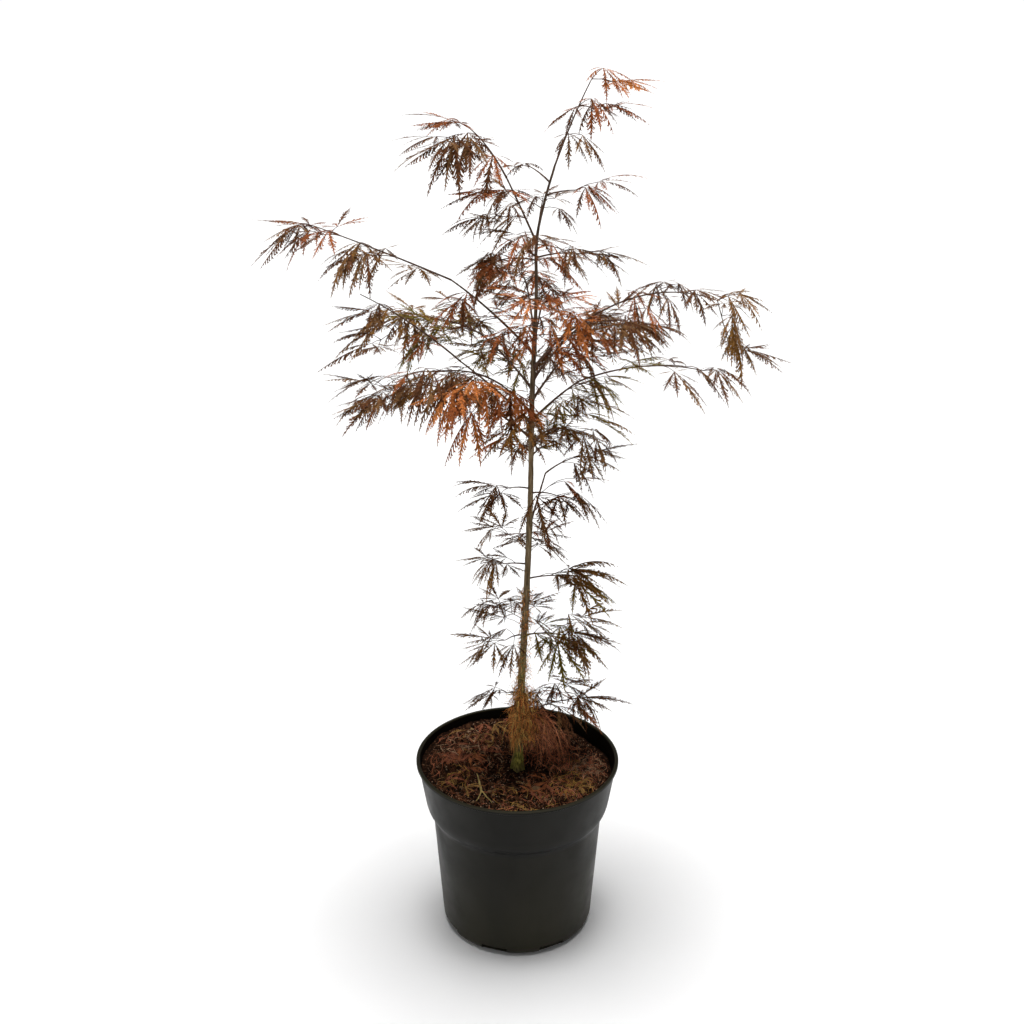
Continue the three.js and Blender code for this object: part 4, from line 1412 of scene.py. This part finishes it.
def make_foliage(masses):
    templates = lobe_templates(LOBE["seed"], LOBE)
    wood = Parts()
    stalks = Parts()
    blades = {tint: Parts() for tint in TINTS}
    users = {tint: set() for tint in TINTS}
    for mass in masses:
        add_bow(wood, mass.stem, GROWTH["stem_radius"], GROWTH["stem_tip_radius"])
        for twig in mass.twigs:
            add_bow(wood, twig, GROWTH["twig_radius"], GROWTH["twig_tip_radius"], sides=4)
        for leaf in mass.leaves:
            add_stalk(stalks, leaf["node"], leaf["palm"], GROWTH["stalk_radius"])
            for i, lobe in enumerate(leaf["lobes"]):
                template = templates[(leaf["kind"] + 3 * i) % len(templates)]
                sister = (leaf["kind"] + i) % SISTER_EVERY == 0
                tint = TINTS[leaf["tint"]]["sister"] if sister else leaf["tint"]
                users[tint].add(f"{mass.name}_foliage")
                add_lobe(blades[tint], leaf["palm"], lobe, template)
    nodes = [f"{mass.name}_foliage" for mass in masses]
    make_piece("foliage_twigs", wood, young_bark(), "twig", replaces=nodes)
    make_piece("foliage_stalks", stalks, dry_litter("leaf_stalk", STALK_COLOUR), "twig")
    for tint, parts in blades.items():
        slot, nodes = TINTS[tint]["slot"], sorted(users[tint])
        make_piece(f"leaves_{tint}", parts, leaf_tissue(tint), slot, smooth=False, replaces=nodes)


def add_thread(parts, draw, start, heading, out, fall, width, lift=0.0, wobble=0.0):
    """A dry thread that leaves its start outwards, wavers, and then hangs."""
    sway = draw(-30, 30)
    side = direction(heading + 90, 0)
    waves, phase = draw(2, 6), draw(0, 6)
    points = []
    for share in np.linspace(0, 1, 8):
        place = start + direction(heading + sway * share, 0) * out * share**0.6
        place = place + side * (wobble * share * math.sin(waves * share + phase))
        points.append(place + UP * (lift * math.sin(math.pi * share) - fall * share**1.6))
    add_strand(parts, points, width, draw(0, 360))


def add_wisp(parts, draw, place, length, width):
    """A short thread that curls freely in the air, mostly downwards."""
    heading, climb = draw(0, 360), draw(-80, 20)
    turn, dip = draw(-120, 120), draw(-50, 30)
    points = [place]
    for share in np.linspace(0, 1, 6):
        points.append(points[-1] + direction(heading + turn * share, climb + dip * share) * length / 6)
    add_strand(parts, points, width, draw(0, 360))


def bark_place(height, heading, share=1.0):
    """A place on the trunk's bark, or at a share of its radius."""
    return trunk_at(height) + direction(heading, 0) * trunk_radius(height) * share


def make_foot_skirt():
    """Dry leaf threads on the foot of the trunk: a ragged tassel, stray bristles, and a fuzz further up."""
    draw = Draws(SKIRT["seed"])
    pieces = {name: Parts() for name in SKIRT["colours"]}

    def rightwards(heading):
        return 1 + SKIRT["rightwards"] * math.cos(math.radians(heading))

    def hang(height, heading, out, fall, width, lift, wobble):
        parts = pieces[draw.pick(SKIRT["deal"])]
        add_thread(parts, draw, bark_place(height, heading), heading, out, fall, width, lift, wobble)

    def curl(height, spread, length, width):
        heading = draw(0, 360)
        out = trunk_radius(height) + spread * rightwards(heading) * math.sqrt(draw(0, 1))
        place = trunk_at(height) + direction(heading, 0) * out
        add_wisp(pieces[draw.pick(SKIRT["deal"])], draw, place, length, width)

    width, spec = SKIRT["width"], SKIRT["tassel"]
    for _ in range(spec["count"]):
        height, heading = draw(*spec["top"]), draw(0, 360)
        fall = max(spec["least_fall"], height - draw(*spec["foot"]))
        out = draw(*spec["out"]) * rightwards(heading)
        hang(height, heading, out, fall, draw(*width), draw(*spec["lift"]), draw(*spec["wobble"]))
    spec = SKIRT["left_strand"]
    for _ in range(spec["count"]):
        height, heading, out = draw(*spec["top"]), draw(*spec["heading"]), draw(*spec["out"])
        fall = height - draw(*spec["foot"])
        hang(height, heading, out, fall, draw(*width), spec["lift"], draw(*spec["wobble"]))
    spec = SKIRT["bristles"]
    for _ in range(spec["count"]):
        height, heading = draw(*spec["top"]), draw(0, 360)
        out, fall, thin = draw(*spec["out"]), draw(*spec["fall"]), draw(*SKIRT["bristle_width"])
        hang(height, heading, out, fall, thin, draw(*spec["lift"]), draw(*spec["wobble"]))
    spec = SKIRT["tuft"]
    for _ in range(spec["count"]):
        height = draw(*spec["height"])
        spread = spec["spread"] * (1 - ((height - spec["widest_at"]) / spec["half_height"]) ** 2)
        curl(height, spread, draw(*spec["length"]), draw(*width))
    spec = SKIRT["fuzz"]
    for _ in range(spec["count"]):
        height = spec["low"] + spec["rise"] * draw(0, 1) ** spec["thinning"]
        curl(height, spec["spread"], draw(*spec["length"]), draw(*spec["width"]))
    make_dry_pieces("foot_skirt", SKIRT["colours"], pieces, replaces=["foot_front_foliage"])


def make_foot_broom():
    """Withered leaves that arch from the trunk down to the clump on the right."""
    draw = Draws(BROOM["seed"])
    templates = lobe_templates(BROOM["template_seed"], THREAD_LOBE)
    pieces = {name: Parts() for name in BROOM["colours"]}
    heap = BROOM["heap"]
    middle = np.array([*heap["place"], SOIL["level"]])
    for _ in range(heap["count"]):
        turn, out = draw(0, 360), heap["radius"] * math.sqrt(draw(0, 1))
        up = draw(*heap["height"]) * (1 - (out / heap["edge"]) ** 2)
        place = middle + direction(turn, 0) * out + UP * up
        parts = pieces[draw.pick(BROOM["deal"])]
        add_wisp(parts, draw, place, draw(*heap["length"]), draw(*heap["width"]))
    spec = BROOM["threads"]
    for _ in range(spec["count"]):
        height, heading = draw(*spec["top"]), draw(*spec["heading"])
        fall = height - SOIL["level"] - draw(*spec["foot"])
        parts, out, width = pieces[draw.pick(BROOM["deal"])], draw(*spec["out"]), draw(*spec["width"])
        lift, wobble = draw(*BROOM["thread_lift"]), draw(*BROOM["thread_wobble"])
        add_thread(parts, draw, bark_place(height, heading), heading, out, fall, width, lift, wobble)
    spec = BROOM["leaves"]
    for _ in range(spec["count"]):
        height, heading = draw(*spec["top"]), draw(*spec["heading"])
        node = bark_place(height, heading, 0.8)
        palm = node + direction(heading, 0) * draw(*spec["out"]) + UP * draw(*spec["up"])
        parts = pieces[draw.pick(BROOM["deal"])]
        add_stalk(parts, node, palm, THREAD_STALK_RADIUS)
        longest = 1.1 * (palm[2] - SOIL["level"])
        for i in range(-3, 4):
            length = min(draw(*spec["length"]), longest) * (1 - 0.07 * abs(i))
            lobe = dict(
                heading=heading + BROOM["leaf_fan"] * i + draw(-9, 9),
                start_pitch=draw(-40, 34),
                end_pitch=-draw(40, 86),
                length=length,
            )
            add_lobe(parts, palm, lobe, templates[int(draw(0, TEMPLATES))])
    make_dry_pieces("foot_broom", BROOM["colours"], pieces, smooth=False)


def place_in_arc(draw, arcs):
    """A place in the outer soil, within one of the arcs of heading."""
    low, high = draw.pick(arcs)
    turn = math.radians(draw(low, high))
    radius = SOIL_RADIUS * draw(*FALLEN["out"])
    return radius * math.cos(turn), radius * math.sin(turn)


def make_fallen_leaves():
    """Shrivelled leaves on the soil, most of them to the left and the back, and some to the right."""
    draw = Draws(FALLEN["seed"])
    templates = lobe_templates(FALLEN["template_seed"], LOBE)
    pieces = {name: Parts() for name in FALLEN["colours"]}
    for _ in range(FALLEN["count"]):
        x, y = place_in_arc(draw, FALLEN["arcs"])
        heading = draw(0, 360)
        palm = lie_on_soil(x, y, draw(*FALLEN["above"]))
        parts = pieces[draw.pick(FALLEN["deal"])]
        for i in range(-2, 3):
            lobe = dict(
                heading=heading + FALLEN["fan"] * i + draw(-12, 12),
                start_pitch=draw(-8, 30),
                end_pitch=draw(-38, -2),
                length=draw(*FALLEN["length"]),
            )
            if np.hypot(*lobe_points(palm, lobe, [1.0])[0][:2]) < SOIL_RADIUS - 2:
                add_lobe(parts, palm, lobe, templates[int(draw(0, TEMPLATES))])
    make_dry_pieces("fallen", FALLEN["colours"], pieces, smooth=False)


def make_sprig():
    """A pale forked twig that lies at the front left."""
    parts = Parts()
    shares = np.linspace(0, 1, 7)
    for end, radius in SPRIG["ends"]:
        line = [[blend_values(a, b, share) for a, b in zip(SPRIG["fork"], end)] for share in shares]
        points = [lie_on_soil(x, y, SPRIG["above"]) for x, y in line]
        add_tube(parts, points, blend_values(radius, 0.45 * radius, shares), 6)
    make_piece("pale_sprig", parts, dry_litter("pale_sprig", SPRIG["colour"]), "straw")


def add_pebble(parts, place, size, rings=7, facets=10):
    """A rounded lump with an uneven surface."""
    flatness = PEBBLES["flatness"]
    vertices = [place + [0, 0, size * flatness]]
    for ring in range(1, rings):
        tilt = 90 - 180 * ring / rings
        for i in range(facets):
            spoke = direction(360 * i / facets, tilt)
            lump = 1 + 0.3 * noise.noise(Vector(spoke) * 1.7 + Vector(place))
            vertices.append(place + spoke * size * lump * [1, 1, flatness])
    vertices.append(place - [0, 0, size * flatness])
    index, beside = number_corners(rings - 1, facets, first=1)
    top = fan(0, index[0], beside[0])
    foot = fan(index.size + 1, beside[-1], index[-1])
    parts.add(vertices, np.vstack([top, skin(index, beside)[:, ::-1], foot]))


def make_pebbles():
    """Round tan lumps at the front and the right, and small ones scattered about."""
    draw = Draws(PEBBLES["seed"])
    parts = Parts()
    for place, size in PEBBLES["large"]:
        add_pebble(parts, lie_on_soil(*place, PEBBLES["large_above"]), size)
    for _ in range(PEBBLES["count"]):
        place = lie_on_soil(*place_on_soil(draw), PEBBLES["above"])
        add_pebble(parts, place, draw(*PEBBLES["size"]), rings=5, facets=7)
    make_piece("tan_pebbles", parts, dry_litter("tan_pebbles", PEBBLES["colour"]), "soil")


# ---- Scene ----


def make_camera():
    data = bpy.data.cameras.new("camera")
    data.sensor_width = 36
    data.lens = data.sensor_width * CAMERA["focal_share"]
    data.clip_end = 50
    camera = bpy.data.objects.new("camera", data)
    camera.location = Vector(CAMERA["place"]) * METRES
    camera.rotation_euler = (math.radians(90 - CAMERA["pitch"]), 0, 0)
    bpy.context.scene.collection.objects.link(camera)
    bpy.context.scene.camera = camera


def make_floor():
    mesh = bpy.data.meshes.new("floor")
    half = FLOOR["half_width"]
    corners = [(-half, -half, 0), (half, -half, 0), (half, half, 0), (-half, half, 0)]
    mesh.from_pydata(corners, [], [(0, 1, 2, 3)])
    floor = bpy.data.objects.new("floor", mesh)
    floor.location.z = -FLOOR["drop"]
    mesh.materials.append(floor_paint())
    bpy.context.scene.collection.objects.link(floor)


def make_sky():
    """A studio sky: white near the horizon and greyer overhead."""
    world = bpy.data.worlds.new("studio")
    world.use_nodes = True
    nodes, links = world.node_tree.nodes, world.node_tree.links
    place = nodes.new("ShaderNodeTexCoord")
    parts = nodes.new("ShaderNodeSeparateXYZ")
    ramp = nodes.new("ShaderNodeValToRGB")
    links.new(place.outputs["Generated"], parts.inputs["Vector"])
    links.new(parts.outputs["Z"], ramp.inputs["Fac"])
    white, grey = ramp.color_ramp.elements
    white.position, grey.position = SKY["white_to"], SKY["grey_from"]
    white.color, grey.color = (1, 1, 1, 1), (SKY["grey"],) * 3 + (1,)
    links.new(ramp.outputs["Color"], nodes["Background"].inputs["Color"])
    nodes["Background"].inputs["Strength"].default_value = SKY["strength"]
    bpy.context.scene.world = world


def make_lights():
    make_sky()
    for name, light in LIGHTS.items():
        data = bpy.data.lights.new(name, "SUN")
        data.energy = light["power"]
        data.angle = math.radians(light["width"])
        lamp = bpy.data.objects.new(name, data)
        towards = Vector(direction(light["heading"], light["climb"]))
        lamp.rotation_euler = towards.to_track_quat("Z", "Y").to_euler()
        lamp.location = towards * 2
        bpy.context.scene.collection.objects.link(lamp)
    bpy.context.scene.view_settings.view_transform = "Standard"


def main():
    make_camera()
    make_floor()
    make_lights()
    make_pot()
    make_soil()
    make_trunk()
    make_boughs()
    seeds = enumerate(MASSES, GROWTH["first_seed"])
    make_foliage([Mass(name, seed) for seed, name in seeds if name != "foot_front"])
    make_foot_skirt()
    make_foot_broom()
    make_fallen_leaves()
    make_sprig()
    make_pebbles()
    make_clumps()
    for name, spec in LITTER.items():
        make_litter(name, spec)
    for name, spec in CRUMBS.items():
        make_crumbs(name, spec)


main()
